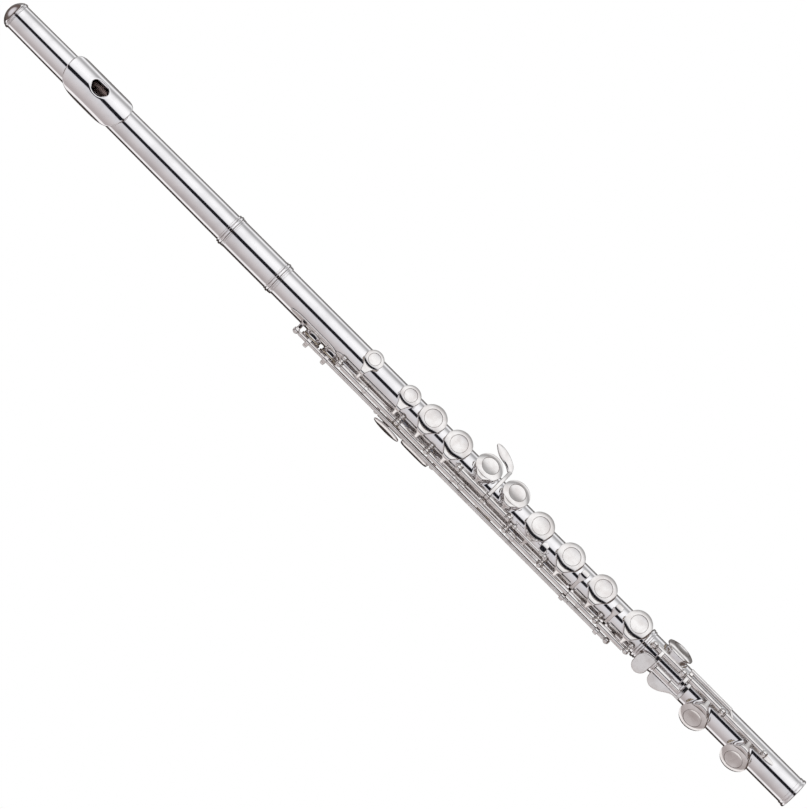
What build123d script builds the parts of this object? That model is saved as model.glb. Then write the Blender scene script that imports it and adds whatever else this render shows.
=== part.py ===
"""A concert flute: head, body and foot joints with every key on its own hinge.

Millimetres. The origin is on the bore axis at the open end of the foot. +X runs along the tube
and out of the foot end, +Z is the way the main key cups face, and -Y is the side of the rods.
An angle "round the tube" is counted from +Z towards +Y.
"""
from build123d import *
from math import cos, hypot, radians, sin
import os

os.makedirs("parts", exist_ok=True)

# ---- driving dimensions: tubes -------------------------------------------------------------
bore_radius = 9.5
tube_radius = 9.9
head_start_x = -670.4
head_end_x = -453.0
head_start_radius = 8.8
head_taper_end_x = -500.0
head_wall = 0.4
body_start_x = -451.0
body_shoulder_x = -131.8
tenon_radius = 9.8
tenon_end_x = -119.6
barrel_start_x = -488.5
barrel_end_x = -442.2
barrel_radius = 10.4
barrel_bore_radius = 9.95
socket_end_x = -117.5
socket_bore_radius = 9.85
socket_outer_radius = 10.15
ring_bead_radius = 11.1
ring_step_radius = 10.75

# ---- driving dimensions: embouchure --------------------------------------------------------
hole_x = -603.1
hole_length = 12.6
hole_width = 10.2
riser_wall = 1.0
plate_length = 49.2
plate_radius = 11.6
plate_wall = 0.9
plate_centre_y = -0.5
plate_centre_z = 2.4
plate_drop = 3.0
plate_lean = 8.4

# ---- driving dimensions: crown and stopper -------------------------------------------------
crown_tip_x = -677.8
crown_radius = 9.45
spigot_radius = 8.2
screw_radius = 1.5
screw_clearance = 0.06
cork_radius = 8.3
stopper_face_x = -620.6

# ---- driving dimensions: hinges, posts and ribs --------------------------------------------
rod_radius = 0.9
running_radius = 0.95
main_hinge_radius = 2.0
trill_hinge_radius = 1.35
post_ball_radius = 2.15
post_stem_radius = 1.2
end_gap = 0.15
solder_gap = 0.05
rib_radius = 11.1
seat_gap = 0.03


def around(angle, radius):
    """(y, z) at an angle round the tube and a distance from the bore axis."""
    return (radius * sin(radians(angle)), radius * cos(radians(angle)))


main_rod = around(-73, 14.3)
g_rod_axis = around(-40, 14.5)
trill_rod_axis = (-16.3, 0.4)
thumb_rod_axis = (-13.5, -6.5)
lever_rod_axis = (-11.9, 13.5)
foot_rod_axis = around(-4, 14.0)
roller_axis = (-10.74, 11.77)
bridge_axis = (3.0, 15.3)

open_angle = 7.5
foot_open_angle = -7.5
thumb_open_angle = -7.0

# ---- driving dimensions: cups --------------------------------------------------------------
# name: x, angle round the tube, cup radius, tone hole radius, height of the seat above the axis
main_seat = 12.2
cup_height = 2.7
pad_height = 2.0
skirt_lift = 0.6
cup_wall = 0.5
chimney_wall = 0.5

C_SHARP_VENT = (-368.4, 5, 6.4, 3.6, main_seat)
C_CUP = (-337.4, 5, 7.0, 5.4, main_seat)
A_SHARP_CUP = (-317.9, 5, 9.3, 7.4, main_seat)
A_CUP = (-295.9, 5, 9.3, 7.4, main_seat)
G_UPPER_CUP = (-272.8, 20, 9.3, 7.4, main_seat)
G_LOWER_CUP = (-249.6, 20, 9.3, 7.4, main_seat)
F_SHARP_CUP = (-225.5, 5, 9.3, 7.4, main_seat)
F_CUP = (-199.0, 5, 9.3, 7.4, main_seat)
E_CUP = (-171.6, 5, 9.3, 7.4, main_seat)
D_CUP = (-141.1, 5, 9.3, 7.4, main_seat)
G_SHARP_CUP = (-255.5, -145, 7.3, 5.6, 11.9)
THUMB_CUP = (-333.0, -165, 7.5, 5.8, 11.9)
D_TRILL_CUP = (-389.8, -115, 7.0, 5.4, 11.4)
D_SHARP_TRILL_CUP = (-404.7, -115, 7.0, 5.4, 11.4)
FOOT_D_SHARP_CUP = (-110.9, 50, 9.75, 7.5, 12.0)
FOOT_C_SHARP_CUP = (-77.7, -71.5, 9.75, 7.5, 12.0)
FOOT_C_CUP = (-42.4, -71.5, 9.75, 7.5, 12.0)

BODY_CUPS = [C_SHARP_VENT, C_CUP, A_SHARP_CUP, A_CUP, G_UPPER_CUP, G_LOWER_CUP, F_SHARP_CUP, F_CUP, E_CUP,
             D_CUP, G_SHARP_CUP, THUMB_CUP, D_TRILL_CUP, D_SHARP_TRILL_CUP]
FOOT_CUPS = [FOOT_D_SHARP_CUP, FOOT_C_SHARP_CUP, FOOT_C_CUP]

trill_touches_x = (-185.6, -156.3)
g_sharp_arm_x = -261.3


# ---- planes and small builders -------------------------------------------------------------
def finish(builder, name):
    builder.part.label = name
    export_step(builder.part, f"parts/{name}.step")


def turned(plane, rod, angle):
    """The plane, swung about a rod that runs along X."""
    y, z = rod
    return Plane(Pos(0, y, z) * Rot(angle, 0, 0) * Pos(0, -y, -z) * plane.location)


def radial_plane(x, angle):
    """A plane whose local X runs along the tube and whose local Y points away from the axis."""
    y, z = around(angle, 1.0)
    return Plane(origin=(x, 0, 0), x_dir=(1, 0, 0), z_dir=(0, -z, y))


def across(x):
    """A plane across the tube at x, with local X along +Y and local Y along +Z."""
    return Plane(origin=(x, 0, 0), x_dir=(0, 1, 0), z_dir=(1, 0, 0))


def turning(points, plane=Plane.XZ, mode=Mode.ADD, axis=Axis.X):
    """A solid of revolution about the axis, from a closed outline in the plane."""
    with BuildSketch(plane) as profile:
        with BuildLine():
            Polyline(*points, close=True)
        make_face()
    revolve(profile.sketch, axis=axis, mode=mode)


def bar_along(axis_point, x0, x1, radius, mode=Mode.ADD):
    """A round bar parallel to the tube."""
    with BuildSketch(across(x0)) as profile:
        with Locations(axis_point):
            Circle(radius)
    extrude(profile.sketch, amount=x1 - x0, mode=mode)


def strip(points, x, width, thickness, plane_of=across, mode=Mode.ADD):
    """A flat strip of metal that follows a line across the tube, centred on x."""
    with BuildSketch(plane_of(x - width / 2)) as profile:
        with BuildLine():
            Spline(*points) if len(points) > 2 else Line(*points)
        trace(line_width=thickness)
    extrude(profile.sketch, amount=width, mode=mode)


def arc_band(x0, x1, inner, outer, start_angle, end_angle, mode=Mode.ADD):
    """Part of a tube wall between two angles round the tube."""
    middle = (start_angle + end_angle) / 2
    with BuildSketch(across(x0)) as profile:
        with BuildLine():
            ThreePointArc(around(start_angle, outer), around(middle, outer), around(end_angle, outer))
            Line(around(end_angle, outer), around(end_angle, inner))
            ThreePointArc(around(end_angle, inner), around(middle, inner), around(start_angle, inner))
            Line(around(start_angle, inner), around(start_angle, outer))
        make_face()
    extrude(profile.sketch, amount=x1 - x0, mode=mode)


def drill(cup, radius, start, mode=Mode.SUBTRACT, end=13.0):
    """A round post or hole that points away from the tube at a cup's place."""
    x, angle = cup[0], cup[1]
    y, z = around(angle, start)
    outward = around(angle, 1.0)
    plane = Plane(origin=(x, y, z), x_dir=(1, 0, 0), z_dir=(0, *outward))
    with BuildSketch(plane) as profile:
        Circle(radius)
    extrude(profile.sketch, amount=end - start, mode=mode)


def cup_axis(cup, rod, angle):
    """The axis of a cup after its key has swung by an angle about its rod."""
    plane = turned(radial_plane(cup[0], cup[1]), rod, angle)
    return plane, Axis(plane.origin, plane.y_dir)


def add_cup(cup, rod, angle=0.0):
    """A pad cup with a rounded rim and a dished centre, open below for its pad."""
    x, _, radius, _, seat = cup
    plane, axis = cup_axis(cup, rod, angle)
    top = seat + cup_height
    ring = 0.64 * radius
    with BuildSketch(plane) as profile:
        with BuildLine():
            Line((0, seat + pad_height), (0, top - 0.35))
            Line((0, top - 0.35), (ring - 0.35, top - 0.35))
            Line((ring - 0.35, top - 0.35), (ring, top))
            Line((ring, top), (radius - 0.9, top))
            TangentArc((radius - 0.9, top), (radius, top - 0.9), tangent=(1, 0))
            Line((radius, top - 0.9), (radius, seat + skirt_lift))
            Line((radius, seat + skirt_lift), (radius - cup_wall, seat + skirt_lift))
            Line((radius - cup_wall, seat + skirt_lift), (radius - cup_wall, seat + pad_height))
            Line((radius - cup_wall, seat + pad_height), (0, seat + pad_height))
        make_face()
    revolve(profile.sketch, axis=axis)


def clear_cup(cup, rod, angle=0.0):
    """Clears what would fill the space for the pad and the rim of the tone hole."""
    x, _, radius, _, seat = cup
    plane, axis = cup_axis(cup, rod, angle)
    with BuildSketch(plane) as profile:
        with Locations(((radius - cup_wall) / 2, seat + pad_height - 6)):
            Rectangle(radius - cup_wall, 12)
    revolve(profile.sketch, axis=axis, mode=Mode.SUBTRACT)


def make_pads(name, cups, rod, angle=0.0):
    with BuildPart() as pads:
        for cup in cups:
            x, _, radius, _, seat = cup
            plane, axis = cup_axis(cup, rod, angle)
            pad_radius = radius - cup_wall - 0.1
            turning([(0, seat + seat_gap), (pad_radius - 0.5, seat + seat_gap), (pad_radius, seat + 0.5),
                     (pad_radius, seat + pad_height), (0, seat + pad_height)], plane, axis=axis)
    finish(pads, name)


def add_arm(cup, rod, angle, hinge_radius, root_half=6.6, stem_half=0.9, inward=1.0, thickness=1.3):
    """A waisted arm from under a cup's rim to its hinge tube, as wide as the cup at one end and thin
    at the other. inward bows it towards the tube."""
    x, cup_angle, radius, _, seat = cup
    out_y, out_z = around(cup_angle, 1.0)
    rod_y, rod_z = rod
    side = 1.0 if (rod_y * out_z - rod_z * out_y) > 0 else -1.0
    tangent = (side * out_z, -side * out_y)
    high = seat + skirt_lift + 0.9
    root = (high * out_y + (radius - 4.2) * tangent[0], high * out_z + (radius - 4.2) * tangent[1])
    rim = (high * out_y + (radius - 0.2) * tangent[0], high * out_z + (radius - 0.2) * tangent[1])
    run = (rod_y - rim[0], rod_z - rim[1])
    length = hypot(*run)
    foot = (rod_y - run[0] / length * 0.6 * hinge_radius, rod_z - run[1] / length * 0.6 * hinge_radius)
    normal = (-run[1] / length, run[0] / length)
    middle = ((rim[0] + foot[0]) / 2, (rim[1] + foot[1]) / 2)
    sign = 1.0 if middle[0] * normal[0] + middle[1] * normal[1] < 0 else -1.0
    bowed = (middle[0] + sign * inward * normal[0], middle[1] + sign * inward * normal[1])
    # the arm is the part that a side profile and a plan outline have in common
    with BuildPart(mode=Mode.PRIVATE) as side_view:
        with BuildSketch(turned(across(x - radius), rod, angle)) as section:
            with BuildLine():
                ThreePointArc(rim, bowed, foot)
                Line(root, rim)
            trace(line_width=thickness)
        extrude(section.sketch, amount=2 * radius)
    plan_origin = (x, *foot)
    toward_cup = Vector(0, -run[0], -run[1]).normalized()
    plan_plane = Plane(origin=plan_origin, x_dir=(1, 0, 0), z_dir=Vector(1, 0, 0).cross(toward_cup))
    with BuildPart(mode=Mode.PRIVATE) as plan_view:
        with BuildSketch(turned(plan_plane, rod, angle)) as outline:
            with BuildLine():
                neck = 0.42 * length
                reach = length + 4.2
                Line((-stem_half, -4), (stem_half, -4))
                Line((stem_half, -4), (stem_half, neck * 0.5))
                ThreePointArc((stem_half, neck * 0.5), (stem_half + 0.22 * root_half, neck * 1.35),
                              (root_half, length))
                Line((root_half, length), (root_half, reach))
                Line((root_half, reach), (-root_half, reach))
                Line((-root_half, reach), (-root_half, length))
                ThreePointArc((-root_half, length), (-stem_half - 0.22 * root_half, neck * 1.35),
                              (-stem_half, neck * 0.5))
                Line((-stem_half, neck * 0.5), (-stem_half, -4))
            make_face()
        extrude(outline.sketch, amount=9, both=True)
    add(side_view.part & plan_view.part)


def add_post(rod, x, foot_angle, ball=post_ball_radius, stem=post_stem_radius, foot_radius=10.4):
    """A ball post: a stem that leans from the tube out to a ball on the rod's axis."""
    foot_y, foot_z = around(foot_angle, foot_radius)
    lean = Vector(0, rod[0] - foot_y, rod[1] - foot_z)
    plane = Plane(origin=(x, foot_y, foot_z), x_dir=(1, 0, 0), z_dir=lean.normalized())
    with BuildSketch(plane) as foot_profile:
        Circle(stem)
    extrude(foot_profile.sketch, amount=lean.length)
    with Locations((x, *rod)):
        Sphere(ball, rotation=(0, 90, 0))


# ---- head joint ----------------------------------------------------------------------------
head_end_radius = tube_radius
with BuildPart() as head_tube:
    turning([(head_start_x, head_start_radius), (head_taper_end_x, head_end_radius),
             (head_end_x, head_end_radius), (head_end_x, head_end_radius - head_wall),
             (head_taper_end_x, head_end_radius - head_wall),
             (head_start_x, head_start_radius - head_wall)])
    with BuildSketch(Plane.XY) as riser_opening:
        with Locations((hole_x, 0)):
            Ellipse(hole_length / 2 + riser_wall, hole_width / 2 + riser_wall)
    extrude(riser_opening.sketch, amount=14, mode=Mode.SUBTRACT)
finish(head_tube, "head_tube")

plate_top_z = plate_centre_z + plate_radius
with BuildPart() as lip_plate:
    with BuildSketch(across(hole_x - plate_length / 2)):
        with Locations((plate_centre_y, plate_centre_z)):
            Circle(plate_radius)
            Circle(plate_radius - plate_wall, mode=Mode.SUBTRACT)
    extrude(amount=plate_length)
    with BuildSketch(turned(Plane.XZ, (plate_centre_y, plate_centre_z), plate_lean)):
        with Locations((hole_x, plate_top_z)):
            Ellipse(plate_length / 2, plate_radius + plate_drop)
    extrude(amount=2 * plate_radius, both=True, mode=Mode.INTERSECT)
    with BuildSketch(Plane.XY):
        with Locations((hole_x, 0)):
            Ellipse(hole_length / 2, hole_width / 2)
    extrude(amount=20, mode=Mode.SUBTRACT)
finish(lip_plate, "lip_plate")

head_radius_at_hole = head_start_radius + (head_end_radius - head_start_radius) * (
    (hole_x - head_start_x) / (head_taper_end_x - head_start_x))
with BuildPart() as riser:
    with BuildSketch(Plane.XY.offset(7.0)):
        with Locations((hole_x, 0)):
            Ellipse(hole_length / 2 + riser_wall, hole_width / 2 + riser_wall)
            Ellipse(hole_length / 2, hole_width / 2, mode=Mode.SUBTRACT)
    extrude(amount=8)
    bar_along((0, 0), hole_x - 10, hole_x + 10, head_radius_at_hole - head_wall, mode=Mode.SUBTRACT)
    bar_along((plate_centre_y, plate_centre_z), hole_x - 10, hole_x + 10, plate_radius - plate_wall,
              mode=Mode.INTERSECT)
finish(riser, "riser")

crown_rim_x = head_start_x - 1.6
with BuildPart() as crown:
    with BuildSketch(Plane.XZ):
        with BuildLine():
            Line((crown_tip_x, 0), (crown_tip_x, 2.0))
            ThreePointArc((crown_tip_x, 2.0), (crown_tip_x + 1.9, 6.3), (crown_rim_x, crown_radius - 0.3))
            Line((crown_rim_x, crown_radius - 0.3), (crown_rim_x + 0.3, crown_radius))
            Line((crown_rim_x + 0.3, crown_radius), (head_start_x - 0.4, crown_radius))
            Line((head_start_x - 0.4, crown_radius), (head_start_x - 0.1, crown_radius - 0.3))
            Line((head_start_x - 0.1, crown_radius - 0.3), (head_start_x - 0.1, spigot_radius))
            Line((head_start_x - 0.1, spigot_radius), (head_start_x + 4.5, spigot_radius))
            Line((head_start_x + 4.5, spigot_radius), (head_start_x + 4.5, 0))
            Line((head_start_x + 4.5, 0), (crown_tip_x, 0))
        make_face()
    revolve(axis=Axis.X)
    bar_along((0, 0), head_start_x - 4.5, head_start_x + 5, screw_radius + screw_clearance,
              mode=Mode.SUBTRACT)
finish(crown, "crown")

with BuildPart() as stopper_screw:
    bar_along((0, 0), head_start_x - 3.5, stopper_face_x - 1.0, screw_radius)
    bar_along((0, 0), stopper_face_x - 1.0, stopper_face_x, cork_radius)
finish(stopper_screw, "stopper_screw")

cork_start_x = stopper_face_x - 17.0
with BuildPart() as stopper_cork:
    bar_along((0, 0), cork_start_x, stopper_face_x - 1.0, cork_radius)
    bar_along((0, 0), cork_start_x, stopper_face_x - 1.0, screw_radius, mode=Mode.SUBTRACT)
    chamfer(stopper_cork.faces().sort_by(Axis.X)[0].edges().sort_by(SortBy.RADIUS)[-1], 0.4)
finish(stopper_cork, "stopper_cork")

with BuildPart() as stopper_nut:
    bar_along((0, 0), cork_start_x - 1.6, cork_start_x, 6.5)
    bar_along((0, 0), cork_start_x - 4.4, cork_start_x - 1.6, 3.2)
    bar_along((0, 0), cork_start_x - 4.4, cork_start_x, screw_radius, mode=Mode.SUBTRACT)
finish(stopper_nut, "stopper_nut")

# ---- body tube, barrel and ribs ------------------------------------------------------------
with BuildPart() as body_tube:
    bar_along((0, 0), body_start_x, body_shoulder_x, tube_radius)
    bar_along((0, 0), body_shoulder_x, tenon_end_x, tenon_radius)
    for cup in BODY_CUPS:
        drill(cup, cup[3] + chimney_wall, 5.0, Mode.ADD, end=cup[4])
    for cup in BODY_CUPS:
        drill(cup, cup[3], 5.0)
    bar_along((0, 0), body_start_x, tenon_end_x, bore_radius, mode=Mode.SUBTRACT)
finish(body_tube, "body_tube")

with BuildPart() as barrel:
    turning([(barrel_start_x, barrel_radius), (barrel_end_x, barrel_radius), (barrel_end_x, tube_radius),
             (body_start_x, tube_radius), (body_start_x, barrel_bore_radius),
             (barrel_start_x, barrel_bore_radius)])
finish(barrel, "barrel")

ring_length = 5.4
with BuildPart() as barrel_rings:
    for start in (barrel_start_x, barrel_end_x - ring_length - 0.4):
        turning([(start, barrel_radius), (start, ring_bead_radius - 0.5), (start + 0.5, ring_bead_radius),
                 (start + 1.7, ring_bead_radius), (start + 2.2, ring_step_radius),
                 (start + ring_length, ring_step_radius), (start + ring_length, barrel_radius)])
finish(barrel_rings, "barrel_rings")

rib_notches = (g_sharp_arm_x, *trill_touches_x)
with BuildPart() as main_rib:
    arc_band(-388.0, -133.2, tube_radius, rib_radius, -80, -50)
    for notch_x in rib_notches:
        with BuildSketch(across(notch_x - 2.6)):
            Rectangle(40, 40)
        extrude(amount=5.2, mode=Mode.SUBTRACT)
finish(main_rib, "main_rib")

with BuildPart() as trill_rib:
    arc_band(-426.3, -388.2, tube_radius, rib_radius - 0.3, -80, -58)
    for cup in (D_TRILL_CUP, D_SHARP_TRILL_CUP):
        drill(cup, cup[3] + chimney_wall + 0.1, 5.0)
finish(trill_rib, "trill_rib")

with BuildPart() as g_rib:
    arc_band(-289.0, -240.0, tube_radius, rib_radius - 0.4, -49.5, -35)
    for cup in (G_UPPER_CUP, G_LOWER_CUP, A_CUP):
        drill(cup, cup[3] + chimney_wall + 0.1, 5.0)
finish(g_rib, "g_rib")

main_posts_x = (-381.9, -331.9, -306.9, -239.2, -209.4, -161.2, -135.0)
left_rod_span = (-383.6, -240.0)
right_rod_span = (-238.4, -133.4)
trill_posts_x = (-414.8, -147.8)
g_posts_x = (-285.9, -242.9)
thumb_posts_x = (-345.5, -297.5)
lever_posts_x = (-236.4, -210.9)

with BuildPart() as body_posts:
    for post_x in main_posts_x:
        add_post(main_rod, post_x, -58)
    add_post(trill_rod_axis, trill_posts_x[0], -72)
    add_post(trill_rod_axis, trill_posts_x[1], -96, foot_radius=tube_radius - 0.5)
    for post_x in g_posts_x:
        add_post(g_rod_axis, post_x, -42)
    for post_x in thumb_posts_x:
        add_post(thumb_rod_axis, post_x, -122, ball=1.9, foot_radius=tube_radius - 0.5)
    for post_x in lever_posts_x:
        add_post(lever_rod_axis, post_x, -54, ball=1.3, stem=0.7)
    bar_along((0, 0), -430, -120, tube_radius, mode=Mode.SUBTRACT)
    for rib in (main_rib, trill_rib, g_rib):
        add(rib.part, mode=Mode.SUBTRACT)
    for span in (left_rod_span, right_rod_span):
        bar_along(main_rod, *span, running_radius, mode=Mode.SUBTRACT)
    bar_along(trill_rod_axis, -415.6, -147.0, running_radius - 0.2, mode=Mode.SUBTRACT)
    bar_along(g_rod_axis, -286.9, -241.9, rod_radius, mode=Mode.SUBTRACT)
    bar_along(thumb_rod_axis, -346.3, -296.7, rod_radius, mode=Mode.SUBTRACT)
    bar_along(lever_rod_axis, -236.8, -210.5, 0.5, mode=Mode.SUBTRACT)
finish(body_posts, "body_posts")

with BuildPart() as g_rod:
    bar_along(g_rod_axis, -286.9, -241.9, rod_radius)
finish(g_rod, "g_rod")
with BuildPart() as thumb_rod:
    bar_along(thumb_rod_axis, -346.3, -296.7, rod_radius)
finish(thumb_rod, "thumb_rod")
with BuildPart() as side_lever_rod:
    bar_along(lever_rod_axis, -236.8, -210.5, 0.5)
finish(side_lever_rod, "side_lever_rod")
with BuildPart() as left_hand_rod:
    bar_along(main_rod, *left_rod_span, rod_radius)
finish(left_hand_rod, "left_hand_rod")
with BuildPart() as right_hand_rod:
    bar_along(main_rod, *right_rod_span, rod_radius)
finish(right_hand_rod, "right_hand_rod")

spring_radius = 0.25
spring_line = around(-65, 12.3)
with BuildPart() as body_springs:
    for start, length in ((-381.9, 11.0), (-331.9, 12.0), (-306.9, 9.0), (-239.2, 12.0), (-209.4, 9.0),
                          (-161.2, -8.5), (-135.0, -4.5)):
        low, high = sorted((start, start + length))
        bar_along(spring_line, low, high, spring_radius)
    add(body_posts.part, mode=Mode.SUBTRACT)
finish(body_springs, "body_springs")


# ---- keys on the main rods -----------------------------------------------------------------
def hinge(rod, spans, radius):
    for start, end in spans:
        bar_along(rod, start, end, radius)


def collars(rod, places, radius=2.5, width=2.4):
    for place in places:
        bar_along(rod, place - width / 2, place + width / 2, radius)


def solder_seam(rod, x0, x1, radius):
    """The thin line of solder between a hinge tube and what sits on it, left open so each is its own solid."""
    with BuildSketch(across(x0)) as ring:
        with Locations(rod):
            Circle(radius + solder_gap)
            Circle(radius, mode=Mode.SUBTRACT)
    extrude(ring.sketch, amount=x1 - x0, mode=Mode.SUBTRACT)


def hinge_bore(rod, spans, radius):
    for start, end in spans:
        bar_along(rod, start - 1, end + 1, radius, mode=Mode.SUBTRACT)


bridge_line = around(-40, 11.5)
bridge_radius = 0.6


def make_stack_key(name, cups, spans, collars_x=(), bore=running_radius, rod=main_rod, bow=-1.7, bridge=None):
    """An open-standing key whose cups sit on one hinge tube, drawn in its open place.
    bridge is the span of a bar that ties two lengths of hinge tube together."""
    with BuildPart() as key:
        hinge(rod, spans, main_hinge_radius)
        if bridge:
            bar_along(bridge_line, bridge[0], bridge[1], bridge_radius)
            for end in (bridge[0] + bridge_radius, bridge[1] - bridge_radius):
                strip([bridge_line, rod], end, 1.6, 1.2)
            solder_seam(rod, bridge[0] - 0.5, bridge[1] + 0.5, main_hinge_radius)
        for cup in cups:
            add_arm(cup, rod, open_angle, main_hinge_radius, root_half=0.72 * cup[2], inward=bow)
        for cup in cups:
            clear_cup(cup, rod, open_angle)
            add_cup(cup, rod, open_angle)
        collars(rod, collars_x)
        hinge_bore(rod, spans, bore)
    finish(key, name)


post_clear = post_ball_radius + end_gap
make_stack_key("c_key", [C_SHARP_VENT, C_CUP], [(-381.9 + post_clear, -331.9 - post_clear)], (-359.6,))
make_stack_key("a_sharp_key", [A_SHARP_CUP], [(-331.9 + post_clear, -306.9 - post_clear),
                                              (-279.0, -239.2 - post_clear)], (-275.8,), rod_radius)
make_stack_key("a_key", [A_CUP], [(-306.9 + post_clear, -279.2)], (-283.4,))
make_stack_key("g_key", [G_UPPER_CUP, G_LOWER_CUP], [(-285.9 + post_clear, -262.9),
                                                     (-259.7, -242.9 - post_clear)], rod=g_rod_axis, bow=-0.6,
               bridge=(-265.5, -257.1))
make_stack_key("f_sharp_key", [F_SHARP_CUP], [(-239.2 + post_clear, -209.4 - post_clear)], (-232.2,),
               rod_radius, bow=1.0)
make_stack_key("f_key", [F_CUP], [(-209.4 + post_clear, -185.1)])
make_stack_key("e_key", [E_CUP], [(-184.9, -161.2 - post_clear)], (-175.2,))
make_stack_key("d_key", [D_CUP], [(-161.2 + post_clear, -135.0 - post_clear)])

make_pads("c_pads", [C_SHARP_VENT, C_CUP], main_rod, open_angle)
make_pads("a_sharp_pad", [A_SHARP_CUP], main_rod, open_angle)
make_pads("a_pad", [A_CUP], main_rod, open_angle)
make_pads("g_pads", [G_UPPER_CUP, G_LOWER_CUP], g_rod_axis, open_angle)
make_pads("f_sharp_pad", [F_SHARP_CUP], main_rod, open_angle)
make_pads("f_pad", [F_CUP], main_rod, open_angle)
make_pads("e_pad", [E_CUP], main_rod, open_angle)
make_pads("d_pad", [D_CUP], main_rod, open_angle)

# ---- G sharp key ---------------------------------------------------------------------------
leaf_height = 10.5
g_sharp_hub_radius = 1.65
with BuildPart() as g_sharp_key:
    bar_along(g_rod_axis, g_sharp_arm_x - 1.2, g_sharp_arm_x + 1.2, g_sharp_hub_radius)
    strip([(-8.6, 12.9), (-3.0, 14.0), (5.0, 13.6), (14.0, 11.0)], g_sharp_arm_x, 2.4, 1.3)
    strip([(-9.6, 10.1), (-9.4, 7.0), around(-72, 10.6), around(-90, 10.6), around(-106, 10.8),
           around(-119, 12.3), around(-128, 14.1)], g_sharp_arm_x, 2.4, 0.8)
    with BuildSketch(Plane.XY.offset(leaf_height)):
        with BuildLine():
            Spline((g_sharp_arm_x + 1.2, 12.0), (g_sharp_arm_x - 1.0, 17.5), (-269.5, 21.5), (-276.5, 22.6),
                   (-279.2, 20.6))
            Spline((-279.2, 20.6), (-273.5, 16.2), (-266.5, 14.4), (g_sharp_arm_x - 1.2, 12.0))
            Line((g_sharp_arm_x - 1.2, 12.0), (g_sharp_arm_x + 1.2, 12.0))
        make_face()
    extrude(amount=1.2)
    clear_cup(G_SHARP_CUP, g_rod_axis)
    add_cup(G_SHARP_CUP, g_rod_axis)
    solder_seam(g_rod_axis, g_sharp_arm_x - 2, g_sharp_arm_x + 2, g_sharp_hub_radius)
    bar_along(g_rod_axis, g_sharp_arm_x - 2, g_sharp_arm_x + 2, running_radius, mode=Mode.SUBTRACT)
finish(g_sharp_key, "g_sharp_key")
make_pads("g_sharp_pad", [G_SHARP_CUP], g_rod_axis)

# ---- thumb keys ----------------------------------------------------------------------------
with BuildPart() as thumb_b_key:
    bar_along(thumb_rod_axis, -343.4, -322.4, 1.7)
    add_arm(THUMB_CUP, thumb_rod_axis, thumb_open_angle, 1.7, root_half=4.5, inward=0.3)
    clear_cup(THUMB_CUP, thumb_rod_axis, thumb_open_angle)
    add_cup(THUMB_CUP, thumb_rod_axis, thumb_open_angle)
    strip([(-14.6, -6.9), (-16.4, -7.2), (-17.7, -8.0)], -336.0, 5.0, 1.3)
    with BuildSketch(Plane.XZ.offset(17.1)):
        with Locations((-333.4, -8.6)):
            Ellipse(10.2, 4.9)
    extrude(amount=1.2)
    bar_along(thumb_rod_axis, -345, -321, running_radius, mode=Mode.SUBTRACT)
finish(thumb_b_key, "thumb_b_key")
make_pads("thumb_b_pad", [THUMB_CUP], thumb_rod_axis, thumb_open_angle)

with BuildPart() as thumb_bb_lever:
    bar_along(thumb_rod_axis, -322.2, -299.6, 1.7)
    strip([(-13.6, -7.6), (-15.0, -7.8), (-15.9, -8.4)], -312.0, 5.0, 1.3)
    with BuildSketch(Plane.XZ.offset(15.3)):
        with Locations((-311.0, -8.2)):
            RectangleRounded(22.0, 8.0, 3.0)
    extrude(amount=1.2)
    strip([(-12.6, -6.0), around(-108, 11.0), around(-92, 11.2)], -303.0, 2.4, 1.0)
    bar_along(thumb_rod_axis, -324, -298, running_radius, mode=Mode.SUBTRACT)
finish(thumb_bb_lever, "thumb_bb_lever")

# ---- trill keys ----------------------------------------------------------------------------
trill_tube_bore = 0.75
trill_core_radius = 0.7


def add_trill_touch(x):
    """The arm from the trill rod round the tube, under the main rods, to a rounded touch on top."""
    strip([(-15.6, 1.0), (-13.2, 0.9), around(-76, 11.2), around(-56, 12.1), (-7.2, 10.9), (-4.2, 13.5),
           (1.2, 15.0)], x, 2.4, 0.9)
    with BuildSketch(turned(Plane.XY.offset(14.2), (0, 14.2), 16)) as blade:
        with Locations((x, -2.2)):
            SlotOverall(8.6, 4.3, rotation=90)
    extrude(blade.sketch, amount=1.1)


def add_trill_cup(cup):
    """The cup, and the bridge that ties its top to the collar on the trill rod."""
    x = cup[0]
    clear_cup(cup, trill_rod_axis)
    add_cup(cup, trill_rod_axis)
    top = cup[4] + cup_height - 0.05
    out = around(cup[1], top)
    strip([(trill_rod_axis[0] - 0.9, trill_rod_axis[1] - 0.3), (-18.2, -2.8), (-16.4, -5.6), out], x, 2.4, 1.1)


with BuildPart() as d_trill_key:
    bar_along(trill_rod_axis, -394.6, -181.4, trill_hinge_radius)
    add_trill_touch(trill_touches_x[0])
    collars(trill_rod_axis, (D_TRILL_CUP[0], trill_touches_x[0]), radius=2.3, width=2.4)
    add_trill_cup(D_TRILL_CUP)
    for place, reach in ((D_TRILL_CUP[0], 7.5), (trill_touches_x[0], 2.0)):
        solder_seam(trill_rod_axis, place - reach, place + reach, trill_hinge_radius)
    bar_along(trill_rod_axis, -396, -180, trill_tube_bore, mode=Mode.SUBTRACT)
finish(d_trill_key, "d_trill_key")
make_pads("d_trill_pad", [D_TRILL_CUP], trill_rod_axis)

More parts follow.
